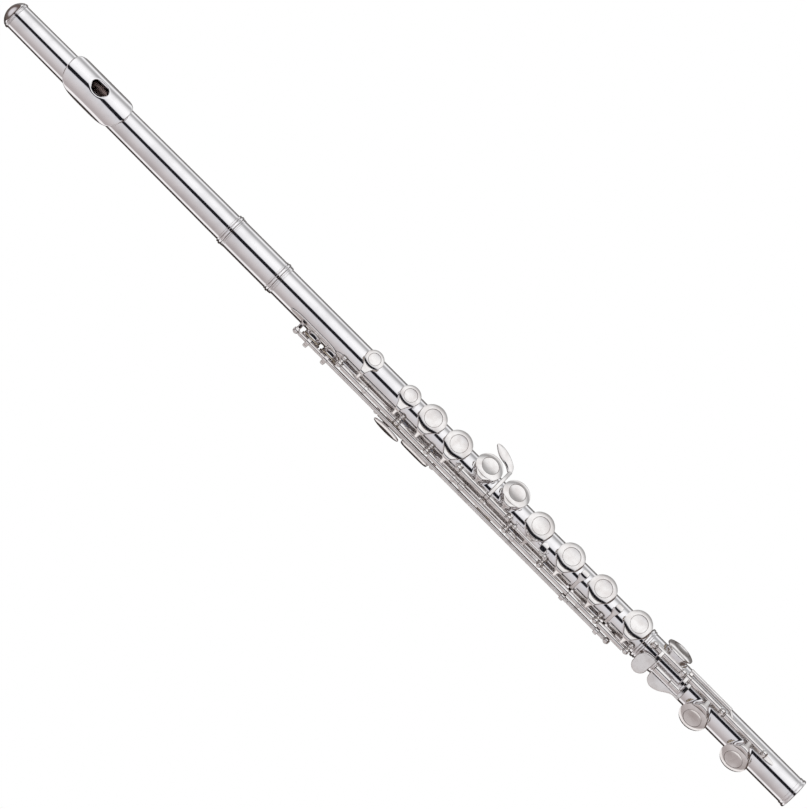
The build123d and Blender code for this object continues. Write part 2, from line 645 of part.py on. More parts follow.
with BuildPart() as d_sharp_trill_key:
    bar_along(trill_rod_axis, -415.4, -147.2, trill_core_radius)
    bar_along(trill_rod_axis, -412.5, -394.8, trill_hinge_radius)
    bar_along(trill_rod_axis, -181.2, -150.1, trill_hinge_radius)
    add_trill_touch(trill_touches_x[1])
    collars(trill_rod_axis, (D_SHARP_TRILL_CUP[0], trill_touches_x[1]), radius=2.3, width=2.4)
    add_trill_cup(D_SHARP_TRILL_CUP)
    for place, reach in ((D_SHARP_TRILL_CUP[0], 7.5), (trill_touches_x[1], 2.0)):
        solder_seam(trill_rod_axis, place - reach, place + reach, trill_hinge_radius)
finish(d_sharp_trill_key, "d_sharp_trill_key")
make_pads("d_sharp_trill_pad", [D_SHARP_TRILL_CUP], trill_rod_axis)

# ---- side B flat lever ---------------------------------------------------------------------
lever_touch_x = -214.9
with BuildPart() as side_bb_lever:
    bar_along(lever_rod_axis, -234.9, -212.4, 1.0)
    with BuildSketch(turned(Plane.XY.offset(14.4), (0, 14.4), 14)) as touch:
        with Locations((lever_touch_x, -7.3)):
            SlotOverall(9.2, 4.3, rotation=90)
    extrude(touch.sketch, amount=1.1)
    strip([(-11.9, 13.5), (-9.6, 13.2), (-6.5, 13.3)], lever_touch_x, 3.0, 1.2)
    bar_along(lever_rod_axis, -236, -211, 0.55, mode=Mode.SUBTRACT)
finish(side_bb_lever, "side_bb_lever")

# ---- foot joint ----------------------------------------------------------------------------
with BuildPart() as foot_tube:
    bar_along((0, 0), body_shoulder_x + 0.1, socket_end_x + 1.5, socket_outer_radius)
    bar_along((0, 0), socket_end_x + 1.5, 0, tube_radius)
    for cup in FOOT_CUPS:
        drill(cup, cup[3] + chimney_wall, 5.0, Mode.ADD, end=cup[4])
    for cup in FOOT_CUPS:
        drill(cup, cup[3], 5.0)
    bar_along((0, 0), body_shoulder_x + 0.1, 0, bore_radius, mode=Mode.SUBTRACT)
    bar_along((0, 0), body_shoulder_x, tenon_end_x + 0.3, socket_bore_radius, mode=Mode.SUBTRACT)
finish(foot_tube, "foot_tube")

with BuildPart() as foot_rings:
    start = body_shoulder_x + 0.1
    turning([(start, socket_outer_radius), (start, ring_bead_radius - 0.3), (start + 0.3, ring_bead_radius),
             (start + 1.6, ring_bead_radius), (start + 2.0, ring_step_radius), (start + 3.4, ring_step_radius),
             (start + 3.4, socket_outer_radius)])
    turning([(-4.0, tube_radius), (-4.0, 10.25), (-1.6, 10.35), (-1.2, 10.65), (-0.3, 10.65), (0, 10.35),
             (0, tube_radius)])
finish(foot_rings, "foot_rings")

foot_posts_x = (-125.3, -100.9, -67.4, -31.4)
foot_rod_span = (-126.2, -30.5)
with BuildPart() as foot_rib:
    arc_band(socket_end_x + 1.5, -22.9, tube_radius, rib_radius - 0.2, -14, 6)
    drill(FOOT_D_SHARP_CUP, FOOT_D_SHARP_CUP[3] + chimney_wall + 0.1, 5.0)
    arc_band(-128.2, socket_end_x + 1.5, socket_outer_radius, rib_radius - 0.2, -14, 6)
finish(foot_rib, "foot_rib")

with BuildPart() as foot_posts:
    for post_x in foot_posts_x:
        add_post(foot_rod_axis, post_x, -4)
    add(foot_rib.part, mode=Mode.SUBTRACT)
    bar_along((0, 0), -130, 0, tube_radius, mode=Mode.SUBTRACT)
    bar_along(foot_rod_axis, *foot_rod_span, rod_radius, mode=Mode.SUBTRACT)
finish(foot_posts, "foot_posts")

with BuildPart() as foot_rod:
    bar_along(foot_rod_axis, *foot_rod_span, rod_radius)
finish(foot_rod, "foot_rod")

foot_hinge_radius = 1.9
with BuildPart() as foot_springs:
    for start, end in ((-125.3, -119.5), (-67.4, -61.0), (-31.4, -37.5)):
        low, high = sorted((start, end))
        bar_along(around(-4, 11.6), low, high, spring_radius)
    add(foot_posts.part, mode=Mode.SUBTRACT)
finish(foot_springs, "foot_springs")

touch_thickness = 1.3
touch_tilt = 36.0
d_touch_arm_x = -117.9
with BuildPart() as foot_d_sharp_key:
    bar_along(foot_rod_axis, -125.3 + post_clear, -100.9 - post_clear, foot_hinge_radius)
    add_arm(FOOT_D_SHARP_CUP, foot_rod_axis, 0.0, foot_hinge_radius, root_half=7.5, stem_half=4.0, inward=-0.6)
    clear_cup(FOOT_D_SHARP_CUP, foot_rod_axis)
    add_cup(FOOT_D_SHARP_CUP, foot_rod_axis)
    strip([(-1.6, 15.2), (-5.0, 15.0), (-8.6, 13.5)], d_touch_arm_x - 0.6, 2.4, 1.3)
    d_touch_plane = turned(Plane.XY.offset(13.0), (-8.0, 13.0), touch_tilt)
    with BuildSketch(d_touch_plane):
        with BuildLine():
            Line((d_touch_arm_x + 0.6, -7.0), (d_touch_arm_x, -16.0))
            ThreePointArc((d_touch_arm_x, -16.0), (-122.6, -22.0), (-128.6, -16.0))
            ThreePointArc((-128.6, -16.0), (-127.2, -9.6), (-122.0, -7.2))
            Line((-122.0, -7.2), (d_touch_arm_x + 0.6, -7.0))
        make_face()
    extrude(amount=touch_thickness)
    bar_along(foot_rod_axis, -124.5, -102, running_radius, mode=Mode.SUBTRACT)
finish(foot_d_sharp_key, "foot_d_sharp_key")
make_pads("foot_d_sharp_pad", [FOOT_D_SHARP_CUP], foot_rod_axis)

c_sharp_arm_x = -93.0
with BuildPart() as foot_c_sharp_key:
    bar_along(foot_rod_axis, -94.8, -67.4 - post_clear, foot_hinge_radius)
    add_arm(FOOT_C_SHARP_CUP, foot_rod_axis, foot_open_angle, foot_hinge_radius, root_half=7.0, inward=-1.6)
    clear_cup(FOOT_C_SHARP_CUP, foot_rod_axis, foot_open_angle)
    add_cup(FOOT_C_SHARP_CUP, foot_rod_axis, foot_open_angle)
    strip([(-1.8, 12.7), (-6.0, 11.6), (-10.2, 9.6), (-13.0, 7.9)], c_sharp_arm_x, 2.6, 1.3)
    with BuildSketch(turned(Plane.XY.offset(8.2), (-12.3, 8.2), touch_tilt)):
        with BuildLine():
            Line((-115.8, -12.3), (-91.8, -12.3))
            Line((-91.8, -12.3), (-91.8, -13.8))
            Spline((-91.8, -13.8), (-97.2, -14.3), (-101.0, -16.4), (-105.0, -18.9), (-110.2, -20.0),
                   (-114.4, -17.6), (-115.8, -12.3))
        make_face()
    extrude(amount=touch_thickness)
    bar_along(foot_rod_axis, -96, -68, running_radius, mode=Mode.SUBTRACT)
finish(foot_c_sharp_key, "foot_c_sharp_key")
make_pads("foot_c_sharp_pad", [FOOT_C_SHARP_CUP], foot_rod_axis, foot_open_angle)

roller_arm_x = -97.0
roller_pin_radius = 0.9
roller_span = (-115.4, -103.4)
with BuildPart() as foot_c_key:
    bar_along(foot_rod_axis, -98.5, -95.0, foot_hinge_radius)
    bar_along(foot_rod_axis, -65.0, -31.4 - post_clear, foot_hinge_radius)
    bar_along(bridge_axis, -98.5, -64.4, 1.5)
    strip([(0.2, 15.4), (1.6, 15.4), bridge_axis], -96.9, 2.6, 1.6)
    bridge_run = (bridge_axis[0] - foot_rod_axis[0], bridge_axis[1] - foot_rod_axis[1])
    slant_plane = Plane(origin=(0, *foot_rod_axis), x_dir=(1, 0, 0), z_dir=(0, -bridge_run[1], bridge_run[0]))
    with BuildSketch(slant_plane):
        Polygon((-62.9, 1.3), (-60.5, 1.3), (-64.6, 5.4), (-67.2, 5.4), align=None)
    extrude(amount=0.8, both=True)
    strip([(-1.8, 15.0), (-6.0, 14.2), roller_axis], roller_arm_x, 2.4, 1.3)
    bar_along(roller_axis, roller_span[1] + 0.3, roller_arm_x + 1.2, 1.5)
    bar_along(roller_axis, roller_span[0] - 0.9, roller_arm_x, roller_pin_radius)
    bar_along(roller_axis, roller_span[0] - 1.0, roller_span[0] - 0.2, 1.5)
    add_arm(FOOT_C_CUP, foot_rod_axis, foot_open_angle, foot_hinge_radius, root_half=7.0, inward=-1.6)
    clear_cup(FOOT_C_CUP, foot_rod_axis, foot_open_angle)
    add_cup(FOOT_C_CUP, foot_rod_axis, foot_open_angle)
    bar_along(foot_rod_axis, -99, -94.5, running_radius, mode=Mode.SUBTRACT)
    bar_along(foot_rod_axis, -66, -32, running_radius, mode=Mode.SUBTRACT)
finish(foot_c_key, "foot_c_key")
make_pads("foot_c_pad", [FOOT_C_CUP], foot_rod_axis, foot_open_angle)

roller_radius = 2.3
with BuildPart() as c_roller:
    bar_along(roller_axis, *roller_span, roller_radius)
    chamfer(c_roller.edges().filter_by(GeomType.CIRCLE), 0.5)
    bar_along(roller_axis, *roller_span, roller_pin_radius + 0.06, mode=Mode.SUBTRACT)
finish(c_roller, "c_roller")
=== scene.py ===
"""The looks of a concert flute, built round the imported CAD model.

Shapes are drawn in millimetres, in the CAD model's frame: the origin on the bore axis at the
foot's open end, +X out of the foot, +Z the way the main cups face, -Y the side of the rods. They
become metres when a mesh is made. An angle "round the tube" is counted from +Z towards +Y.
"""

from math import atan2, cos, hypot, pi, radians, sin, sqrt

import bmesh
import bpy
import numpy as np
from mathutils import Matrix, Vector


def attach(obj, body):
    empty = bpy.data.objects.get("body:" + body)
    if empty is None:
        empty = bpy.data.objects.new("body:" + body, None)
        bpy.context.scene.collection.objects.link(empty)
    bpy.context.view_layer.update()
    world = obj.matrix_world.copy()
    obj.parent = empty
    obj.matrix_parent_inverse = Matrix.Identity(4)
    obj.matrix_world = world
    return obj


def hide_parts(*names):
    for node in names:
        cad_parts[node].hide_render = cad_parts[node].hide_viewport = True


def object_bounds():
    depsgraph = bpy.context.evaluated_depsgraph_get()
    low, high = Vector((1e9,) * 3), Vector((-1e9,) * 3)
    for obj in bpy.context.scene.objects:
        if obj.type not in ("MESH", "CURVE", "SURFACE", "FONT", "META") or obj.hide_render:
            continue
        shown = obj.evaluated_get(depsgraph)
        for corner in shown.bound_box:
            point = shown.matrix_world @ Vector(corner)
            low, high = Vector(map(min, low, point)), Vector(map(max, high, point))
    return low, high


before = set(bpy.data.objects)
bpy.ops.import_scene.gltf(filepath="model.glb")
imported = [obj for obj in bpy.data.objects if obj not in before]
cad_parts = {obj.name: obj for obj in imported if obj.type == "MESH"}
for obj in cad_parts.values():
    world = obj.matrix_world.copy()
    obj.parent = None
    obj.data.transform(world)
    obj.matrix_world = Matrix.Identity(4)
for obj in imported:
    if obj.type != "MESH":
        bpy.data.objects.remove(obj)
cad_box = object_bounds()
MM = 0.001
X_AXIS = np.array((1.0, 0.0, 0.0))

# ---- driving dimensions, in millimetres ----------------------------------------------------
tube_radius = 9.9
bore_radius = 9.5
head_end_x = -453.0
body_start_x = -451.0
body_shoulder_x = -131.8
tenon_end_x = -119.6
tenon_radius = 9.8
socket_start_x = -131.7
socket_end_x = -116.0
socket_radius = 10.15
main_hinge_radius = 2.0
trill_hinge_radius = 1.35
foot_hinge_radius = 1.9
rod_radius = 0.9
ball_radius = 2.15
ball_clear = 2.3
rib_radius = 10.75
cup_height = 2.7
skirt_lift = 0.6
chimney_wall = 0.5
dish_depth = 0.13
dome_slopes = (10.0, 29.5)


def around(angle, radius):
    """(y, z) at an angle round the tube and a distance from the bore axis."""
    return (radius * sin(radians(angle)), radius * cos(radians(angle)))


main_rod = around(-73, 14.3)
g_rod = around(-40, 14.5)
trill_rod = (-16.3, 0.4)
thumb_rod = (-13.5, -6.5)
lever_rod = (-11.9, 13.5)
foot_rod = around(-4, 14.0)
roller_axis = (-10.74, 11.77)
bridge_axis = (3.0, 15.3)
open_angle = 7.5
foot_open_angle = -7.5
thumb_open_angle = -7.0

# x, angle round the tube, cup radius, tone hole radius, height of the seat above the bore axis
C_SHARP_VENT = (-368.4, 5, 6.4, 3.6, 12.2)
C_CUP = (-337.4, 5, 7.0, 5.4, 12.2)
A_SHARP_CUP = (-317.9, 5, 9.3, 7.4, 12.2)
A_CUP = (-295.9, 5, 9.3, 7.4, 12.2)
G_UPPER_CUP = (-272.8, 20, 9.3, 7.4, 12.2)
G_LOWER_CUP = (-249.6, 20, 9.3, 7.4, 12.2)
F_SHARP_CUP = (-225.5, 5, 9.3, 7.4, 12.2)
F_CUP = (-199.0, 5, 9.3, 7.4, 12.2)
E_CUP = (-171.6, 5, 9.3, 7.4, 12.2)
D_CUP = (-141.1, 5, 9.3, 7.4, 12.2)
G_SHARP_CUP = (-255.5, -145, 7.3, 5.6, 11.9)
THUMB_CUP = (-333.0, -165, 7.5, 5.8, 11.9)
D_TRILL_CUP = (-389.8, -115, 7.0, 5.4, 11.4)
D_SHARP_TRILL_CUP = (-404.7, -115, 7.0, 5.4, 11.4)
FOOT_D_SHARP_CUP = (-110.9, 50, 9.75, 7.5, 12.0)
FOOT_C_SHARP_CUP = (-77.7, -71.5, 9.75, 7.5, 12.0)
FOOT_C_CUP = (-42.4, -71.5, 9.75, 7.5, 12.0)
BODY_CUPS = (C_SHARP_VENT, C_CUP, A_SHARP_CUP, A_CUP, G_UPPER_CUP, G_LOWER_CUP, F_SHARP_CUP, F_CUP, E_CUP,
             D_CUP, G_SHARP_CUP, THUMB_CUP, D_TRILL_CUP, D_SHARP_TRILL_CUP)
FOOT_CUPS = (FOOT_D_SHARP_CUP, FOOT_C_SHARP_CUP, FOOT_C_CUP)
trill_touches_x = (-185.6, -156.3)
g_sharp_arm_x = -261.3


# ---- curves --------------------------------------------------------------------------------
def rounded(points, radius, closed=False, steps=5):
    """The outline with its corners turned into short curves."""
    points = [np.array(p, float) for p in points]
    count = len(points)
    out = []
    for i, corner in enumerate(points):
        if not closed and i in (0, count - 1):
            out.append(corner)
            continue
        before = points[i - 1] - corner
        after = points[(i + 1) % count] - corner
        reach = min(radius, 0.45 * np.linalg.norm(before), 0.45 * np.linalg.norm(after))
        start = corner + before / np.linalg.norm(before) * reach
        end = corner + after / np.linalg.norm(after) * reach
        for t in np.linspace(0, 1, steps + 1):
            out.append((1 - t) ** 2 * start + 2 * t * (1 - t) * corner + t * t * end)
    return out


def smooth_path(points, per_span=8, closed=False):
    """A Catmull-Rom curve through the points."""
    points = [np.array(p, float) for p in points]
    count = len(points)
    spans = count if closed else count - 1
    out = []
    for i in range(spans):
        if closed:
            p0, p1, p2, p3 = (points[(i + k - 1) % count] for k in range(4))
        else:
            p1, p2 = points[i], points[i + 1]
            p0 = points[i - 1] if i else 2 * p1 - p2
            p3 = points[i + 2] if i + 2 < count else 2 * p2 - p1
        for t in np.arange(per_span) / per_span:
            out.append(0.5 * (2 * p1 + (p2 - p0) * t + (2 * p0 - 5 * p1 + 4 * p2 - p3) * t * t
                              + (3 * p1 - p0 - 3 * p2 + p3) * t ** 3))
    if not closed:
        out.append(points[-1])
    return out


def three_point_arc(start, middle, end, count=16):
    """Points along the circle through three points of a plane."""
    (ax, ay), (bx, by), (cx, cy) = start, middle, end
    d = 2 * (ax * (by - cy) + bx * (cy - ay) + cx * (ay - by))
    if abs(d) < 1e-6:
        return [np.array(start) + (np.array(end) - np.array(start)) * t for t in np.linspace(0, 1, count)]
    a2 = ax * ax + ay * ay
    b2 = bx * bx + by * by
    c2 = cx * cx + cy * cy
    ux = (a2 * (by - cy) + b2 * (cy - ay) + c2 * (ay - by)) / d
    uy = (a2 * (cx - bx) + b2 * (ax - cx) + c2 * (bx - ax)) / d
    radius = hypot(ax - ux, ay - uy)
    first = atan2(ay - uy, ax - ux)
    turn = (atan2(cy - uy, cx - ux) - first) % (2 * pi)
    half = (atan2(by - uy, bx - ux) - first) % (2 * pi)
    if half > turn:
        turn -= 2 * pi
    return [np.array((ux + radius * cos(first + turn * t), uy + radius * sin(first + turn * t)))
            for t in np.linspace(0, 1, count)]


def oval(power, count=28):
    """A rounded cross-section between -1 and 1 both ways."""
    angles = np.arange(count) / count * 2 * pi
    u = np.sign(np.cos(angles)) * np.abs(np.cos(angles)) ** (2 / power)
    v = np.sign(np.sin(angles)) * np.abs(np.sin(angles)) ** (2 / power)
    return list(zip(u, v))


# ---- shapes --------------------------------------------------------------------------------
class Shape:
    """Points and faces in millimetres that become one mesh."""

    def __init__(self):
        self.points = []
        self.faces = []

    def rings(self, rings, closed=False, caps=True):
        """Quads between rings of points. closed joins the last ring to the first; caps fill the ends."""
        base = len(self.points)
        size = len(rings[0])
        count = len(rings)
        for ring in rings:
            self.points.extend(tuple(p) for p in ring)
        for i in range(count if closed else count - 1):
            j = (i + 1) % count
            for k in range(size):
                n = (k + 1) % size
                self.faces.append((base + i * size + k, base + i * size + n, base + j * size + n,
                                   base + j * size + k))
        if caps and not closed:
            self.faces.append(tuple(base + k for k in reversed(range(size))))
            self.faces.append(tuple(base + (count - 1) * size + k for k in range(size)))
        return self


def frame_at(origin, out, across=X_AXIS):
    """An origin and three axes: along (across), sideways and outward."""
    out = np.array(out, float) / np.linalg.norm(out)
    across = np.array(across, float)
    across = across - out * across.dot(out)
    across /= np.linalg.norm(across)
    return np.array(origin, float), across, np.cross(out, across), out


def lathe(shape, profile, place, segments=96, closed=False):
    """Turns an outline of (height, radius) points about the frame's outward axis."""
    origin, along, side, out = place
    angles = np.arange(segments) / segments * 2 * pi
    rings = []
    for height, radius in profile:
        rings.append([origin + out * height + radius * (along * cos(a) + side * sin(a)) for a in angles])
    return shape.rings(rings, closed=closed, caps=False)


def bar(shape, axis, x0, x1, radius, hole=0.0, edge=0.2, segments=48):
    """A round bar or tube parallel to the bore, with softened ends."""
    place = frame_at((0, *axis), X_AXIS, (0, 0, 1))
    if hole:
        outline = [(x0, hole), (x0, radius), (x1, radius), (x1, hole)]
        return lathe(shape, rounded(outline, edge, closed=True, steps=4), place, segments, closed=True)
    outline = [(x0, 0), (x0, radius), (x1, radius), (x1, 0)]
    return lathe(shape, rounded(outline, edge, steps=4), place, segments)


def spin(vector, angle):
    """A (y, z) pair or (x, y, z) vector turned about X."""
    *head, y, z = vector
    c, s = cos(radians(angle)), sin(radians(angle))
    return np.array((*head, y * c - z * s, y * s + z * c))


def swung(point, rod, angle):
    """A point (x, y, z) swung about a rod that runs along X."""
    pivot = np.array((0, *rod))
    return spin(np.array(point, float) - pivot, angle) + pivot


def cup_frame(cup, rod=(0, 0), angle=0.0):
    """The frame of a cup after its key has swung by an angle about its rod."""
    out = np.array((0, *around(cup[1], 1.0)))
    return frame_at(swung((cup[0], 0, 0), rod, angle), spin(out, angle))


def add_cup(shape, cup, rod, angle=0.0):
    """A pad cup: a turned skirt, a softly domed ring, a fine groove and a dished centre."""
    _, _, radius, _, seat = cup
    top = seat + cup_height
    ring = 0.62 * radius
    outline = [(top - dish_depth * ring * (1 - (r / ring) ** 2) - 0.1, r)
               for r in np.linspace(0, ring - 0.22, 14)]
    outline += [(top - 0.14, ring - 0.16), (top - 0.34, ring - 0.08), (top - 0.36, ring + 0.06),
                (top - 0.1, ring + 0.16)]
    first, last = (sin(radians(slope)) for slope in dome_slopes)
    crown = (radius - 0.15 - ring - 0.2) / (last - first)
    for rise in np.linspace(first, last, 14):
        outline.append((top - crown * (sqrt(1 - first ** 2) - sqrt(1 - rise ** 2)),
                        ring + 0.2 + crown * (rise - first)))
    edge = outline[-1][0]
    outline += rounded([(edge - 0.05, radius - 0.07), (edge - 0.3, radius), (seat + skirt_lift, radius),
                        (seat + skirt_lift, radius - 0.45), (seat + 1.0, radius - 0.45)], 0.14, steps=4)
    outline += [(seat + 1.15, radius - 0.7), (seat + 1.15, 0)]
    lathe(shape, outline, cup_frame(cup, rod, angle))


def add_pad(shape, cup, rod, angle=0.0):
    """A skinned felt pad with a soft bulge round its edge and a slightly hollow face."""
    _, _, radius, hole, seat = cup
    edge = radius - 0.5
    outline = [(seat + 0.1, r) for r in np.linspace(0, hole - 0.6, 5)]
    outline += rounded([(seat + 0.1, hole - 0.5), (seat + 0.16, hole), (seat + 0.16, hole + 0.5),
                        (seat + 0.05, hole + 0.9), (seat + 0.12, edge - 0.35), (seat + 0.6, edge),
                        (seat + 1.0, edge - 0.05)], 0.3, steps=4)
    outline += [(seat + 1.1, edge - 0.4), (seat + 1.1, 0)]
    lathe(shape, outline, cup_frame(cup, rod, angle))


def add_chimney(shape, cup, radius=tube_radius):
    """A tone hole wall with a drawn fillet on the tube and a rolled rim."""
    _, _, _, hole, seat = cup
    origin, along, side, out = cup_frame(cup)
    outer = hole + chimney_wall
    fillet = 1.0
    rows = []
    for a in np.linspace(0, 90, 9):
        rows.append((outer + fillet * (1 - sin(radians(a))), fillet * (1 - cos(radians(a))) + 0.01))
    lip = [(outer, seat - 0.95), (outer + 0.12, seat - 0.85), (outer + 0.34, seat - 0.62),
           (outer + 0.42, seat - 0.36), (outer + 0.3, seat - 0.12), (outer + 0.05, seat - 0.01),
           (outer - 0.2, seat), (hole + 0.06, seat - 0.08), (hole, seat - 0.3)]
    rings = []
    angles = np.arange(96) / 96 * 2 * pi

    def surface(r, a, tube):
        return sqrt(max(tube * tube - (r * sin(a)) ** 2, 0.01))

    for r, lift in rows:
        rings.append([origin + r * (along * cos(a) + side * sin(a))
                      + out * min(surface(r, a, radius) + lift, seat - 0.97) for a in angles])
    for r, height in lip:
        rings.append([origin + r * (along * cos(a) + side * sin(a)) + out * height for a in angles])
    for r, tube, drop in ((hole, bore_radius, 0.02), (outer + fillet, radius, -0.25)):
        rings.append([origin + r * (along * cos(a) + side * sin(a)) + out * (surface(r, a, tube) + drop)
                      for a in angles])
    shape.rings(rings, closed=True)


def add_arm(shape, cup, rod, angle, hinge_radius, root_half=6.6, stem_half=0.9, inward=1.0, thickness=1.3,
            flare=4.0, short=2.2):
    """A waisted, round-edged arm from a cup's wall to its hinge tube.

    inward bows it to the tube; at 0 it leaves the cup level and turns down to the hinge at the distance
    short from the rod's axis.
    """
    x, cup_angle, radius, _, seat = cup
    out_y, out_z = around(cup_angle, 1.0)
    side = 1.0 if (rod[0] * out_z - rod[1] * out_y) > 0 else -1.0
    tangent = (side * out_z, -side * out_y)
    high = seat + skirt_lift + 0.95
    rim = (high * out_y + (radius - 0.2) * tangent[0], high * out_z + (radius - 0.2) * tangent[1])
    run = (rod[0] - rim[0], rod[1] - rim[1])
    length = hypot(*run)
    foot = (rod[0] - run[0] / length * 0.6 * hinge_radius, rod[1] - run[1] / length * 0.6 * hinge_radius)
    normal = (-run[1] / length, run[0] / length)
    middle = ((rim[0] + foot[0]) / 2, (rim[1] + foot[1]) / 2)
    sign = 1.0 if middle[0] * normal[0] + middle[1] * normal[1] < 0 else -1.0
    if inward > 0:
        bowed = (middle[0] + sign * inward * normal[0], middle[1] + sign * inward * normal[1])
        centre = three_point_arc(rim, bowed, foot, 33)
    else:
        level = np.array(tangent)
        corner = np.array(rim) + level * (level.dot(rod) - level.dot(rim) - short)
        centre = rounded([rim, corner, foot], 1.6, steps=10)
    reach = np.concatenate(([0], np.cumsum([np.linalg.norm(b - a) for a, b in zip(centre, centre[1:])])))
    total = reach[-1]

    def spot(s):
        """The centre line at a distance from the rim; before the rim it runs back under the cup."""
        if s <= 0:
            return np.array((rim[0] - tangent[0] * -s, rim[1] - tangent[1] * -s))
        return np.array([np.interp(s, reach, [p[i] for p in centre]) for i in (0, 1)])

    rings = []
    for v in np.linspace(0, 1, 26):
        waist = (1 - v) ** flare
        half = stem_half + (root_half - stem_half) * waist
        ring = []
        for u, w in oval(2.4, 32):
            dx = u * half
            behind = (radius - 0.25) - sqrt(max((radius - 0.25) ** 2 - min(abs(dx), radius - 0.3) ** 2, 0.0))
            s = -behind + v * (total + behind)
            here = spot(s)
            ahead = spot(s + 0.05) - spot(s - 0.05)
            up = np.array((-ahead[1], ahead[0])) / np.linalg.norm(ahead)
            if up.dot((out_y, out_z)) < 0:
                up = -up
            place = here + up * w * thickness / 2
            ring.append(swung((x + dx, *place), rod, angle))
        rings.append(ring)
    shape.rings(rings)


def strip(shape, points, x, width, thickness, power=3.2, per_span=8, taper=None):
    """A flat strip with rounded edges that follows a line across the tube, centred on x."""
    path = smooth_path(points, per_span)
    rings = []
    for i, p in enumerate(path):
        ahead = path[min(i + 1, len(path) - 1)] - path[max(i - 1, 0)]
        normal = np.array((-ahead[1], ahead[0])) / np.linalg.norm(ahead)
        size = width if taper is None else width * np.interp(i / (len(path) - 1), *taper)
        rings.append([(x + u * size / 2, *(p + normal * w * thickness / 2)) for u, w in oval(power, 28)])
    shape.rings(rings)


def plate(shape, outline, spine, place, thickness=1.1, crown=0.25):
    """A touch plate: rounded edges and a gently crowned face. spine is the line its rings shrink to."""
    origin, along, side, out = place
    start, end = (np.array(p, float) for p in spine)
    run = end - start
    half = thickness / 2
    steps = []
    for f in (1.0, 0.7, 0.4, 0.2):
        steps.append((None, f, -half))
    for a in np.linspace(-90, 90, 9):
        steps.append((half * (1 - cos(radians(a))), 0.0, half * sin(radians(a))))
    for f in (0.12, 0.25, 0.4, 0.55, 0.7, 0.85, 1.0):
        steps.append((None, f, half + crown * (1 - (1 - f) ** 2)))
    rings = []
    for inset, fraction, height in steps:
        ring = []
        for p in outline:
            p = np.array(p, float)
            t = np.clip((p - start).dot(run) / max(run.dot(run), 1e-9), 0, 1)
            inward = start + run * t - p
            distance = np.linalg.norm(inward)
            moved = min(inset, distance) if inset is not None else half + fraction * (distance - half)
            q = p + inward / distance * moved
            ring.append(origin + along * q[0] + side * q[1] + out * height)
        rings.append(ring)
    shape.rings(rings)


def add_post(shape, rod, x, foot_angle, ball=ball_radius, stem=1.3, foot_radius=9.9):
    """A turned ball post that leans from its rib out to the rod's axis."""
    foot = np.array(around(foot_angle, foot_radius))
    lean = np.array(rod) - foot
    length = np.linalg.norm(lean)
    place = frame_at((x, *foot), (0, *(lean / length)))
    meet = sqrt(ball * ball - stem * stem)
    outline = [(0, 0), (0, stem * 1.75), (1.0, stem * 1.7), (1.35, stem * 1.3), (1.9, stem * 1.02)]
    outline += [(length - meet - 0.45, stem * 0.95), (length - meet - 0.1, stem * 1.06)]
    first = atan2(stem * 1.12, -sqrt(ball * ball - (stem * 1.12) ** 2))
    outline += [(length + ball * cos(a), ball * sin(a)) for a in np.linspace(first, 0, 17)]
    lathe(shape, outline, place, 48)
    # a fine turned collar where the rod's end screw sits
    for side in (-1, 1):
        bar(shape, rod, x + side * ball * 0.82 - 0.25, x + side * ball * 0.82 + 0.25, ball * 0.62, edge=0.12,
            segments=40)


def needle(shape, axis, x0, x1, radius=0.25):
    """A blued needle spring: round, and drawn to a point at its free end."""
    place = frame_at((0, *axis), X_AXIS, (0, 0, 1))
    length = x1 - x0
    outline = [(x0, 0), (x0, radius), (x0 + 0.3 * length, radius), (x0 + 0.96 * length, radius * 0.45),
               (x1, 0)]
    lathe(shape, outline, place, 16)


# ---- materials -----------------------------------------------------------------------------
class Nodes:
    """A short way to write a material's node tree."""

    def __init__(self, name):
        self.material = bpy.data.materials.new(name)
        self.material.use_nodes = True
        self.tree = self.material.node_tree
        self.shader = self.tree.nodes["Principled BSDF"]

    def add(self, kind, links=(), **values):
        node = self.tree.nodes.new(kind)
        for key, value in values.items():
            if hasattr(node, key):
                setattr(node, key, value)
            else:
                node.inputs[key.replace("_", " ").strip().title()].default_value = value
        for socket, source in links:
            self.tree.links.new(source, node.inputs[socket])
        return node

    def link(self, source, target):
        self.tree.links.new(source, target)


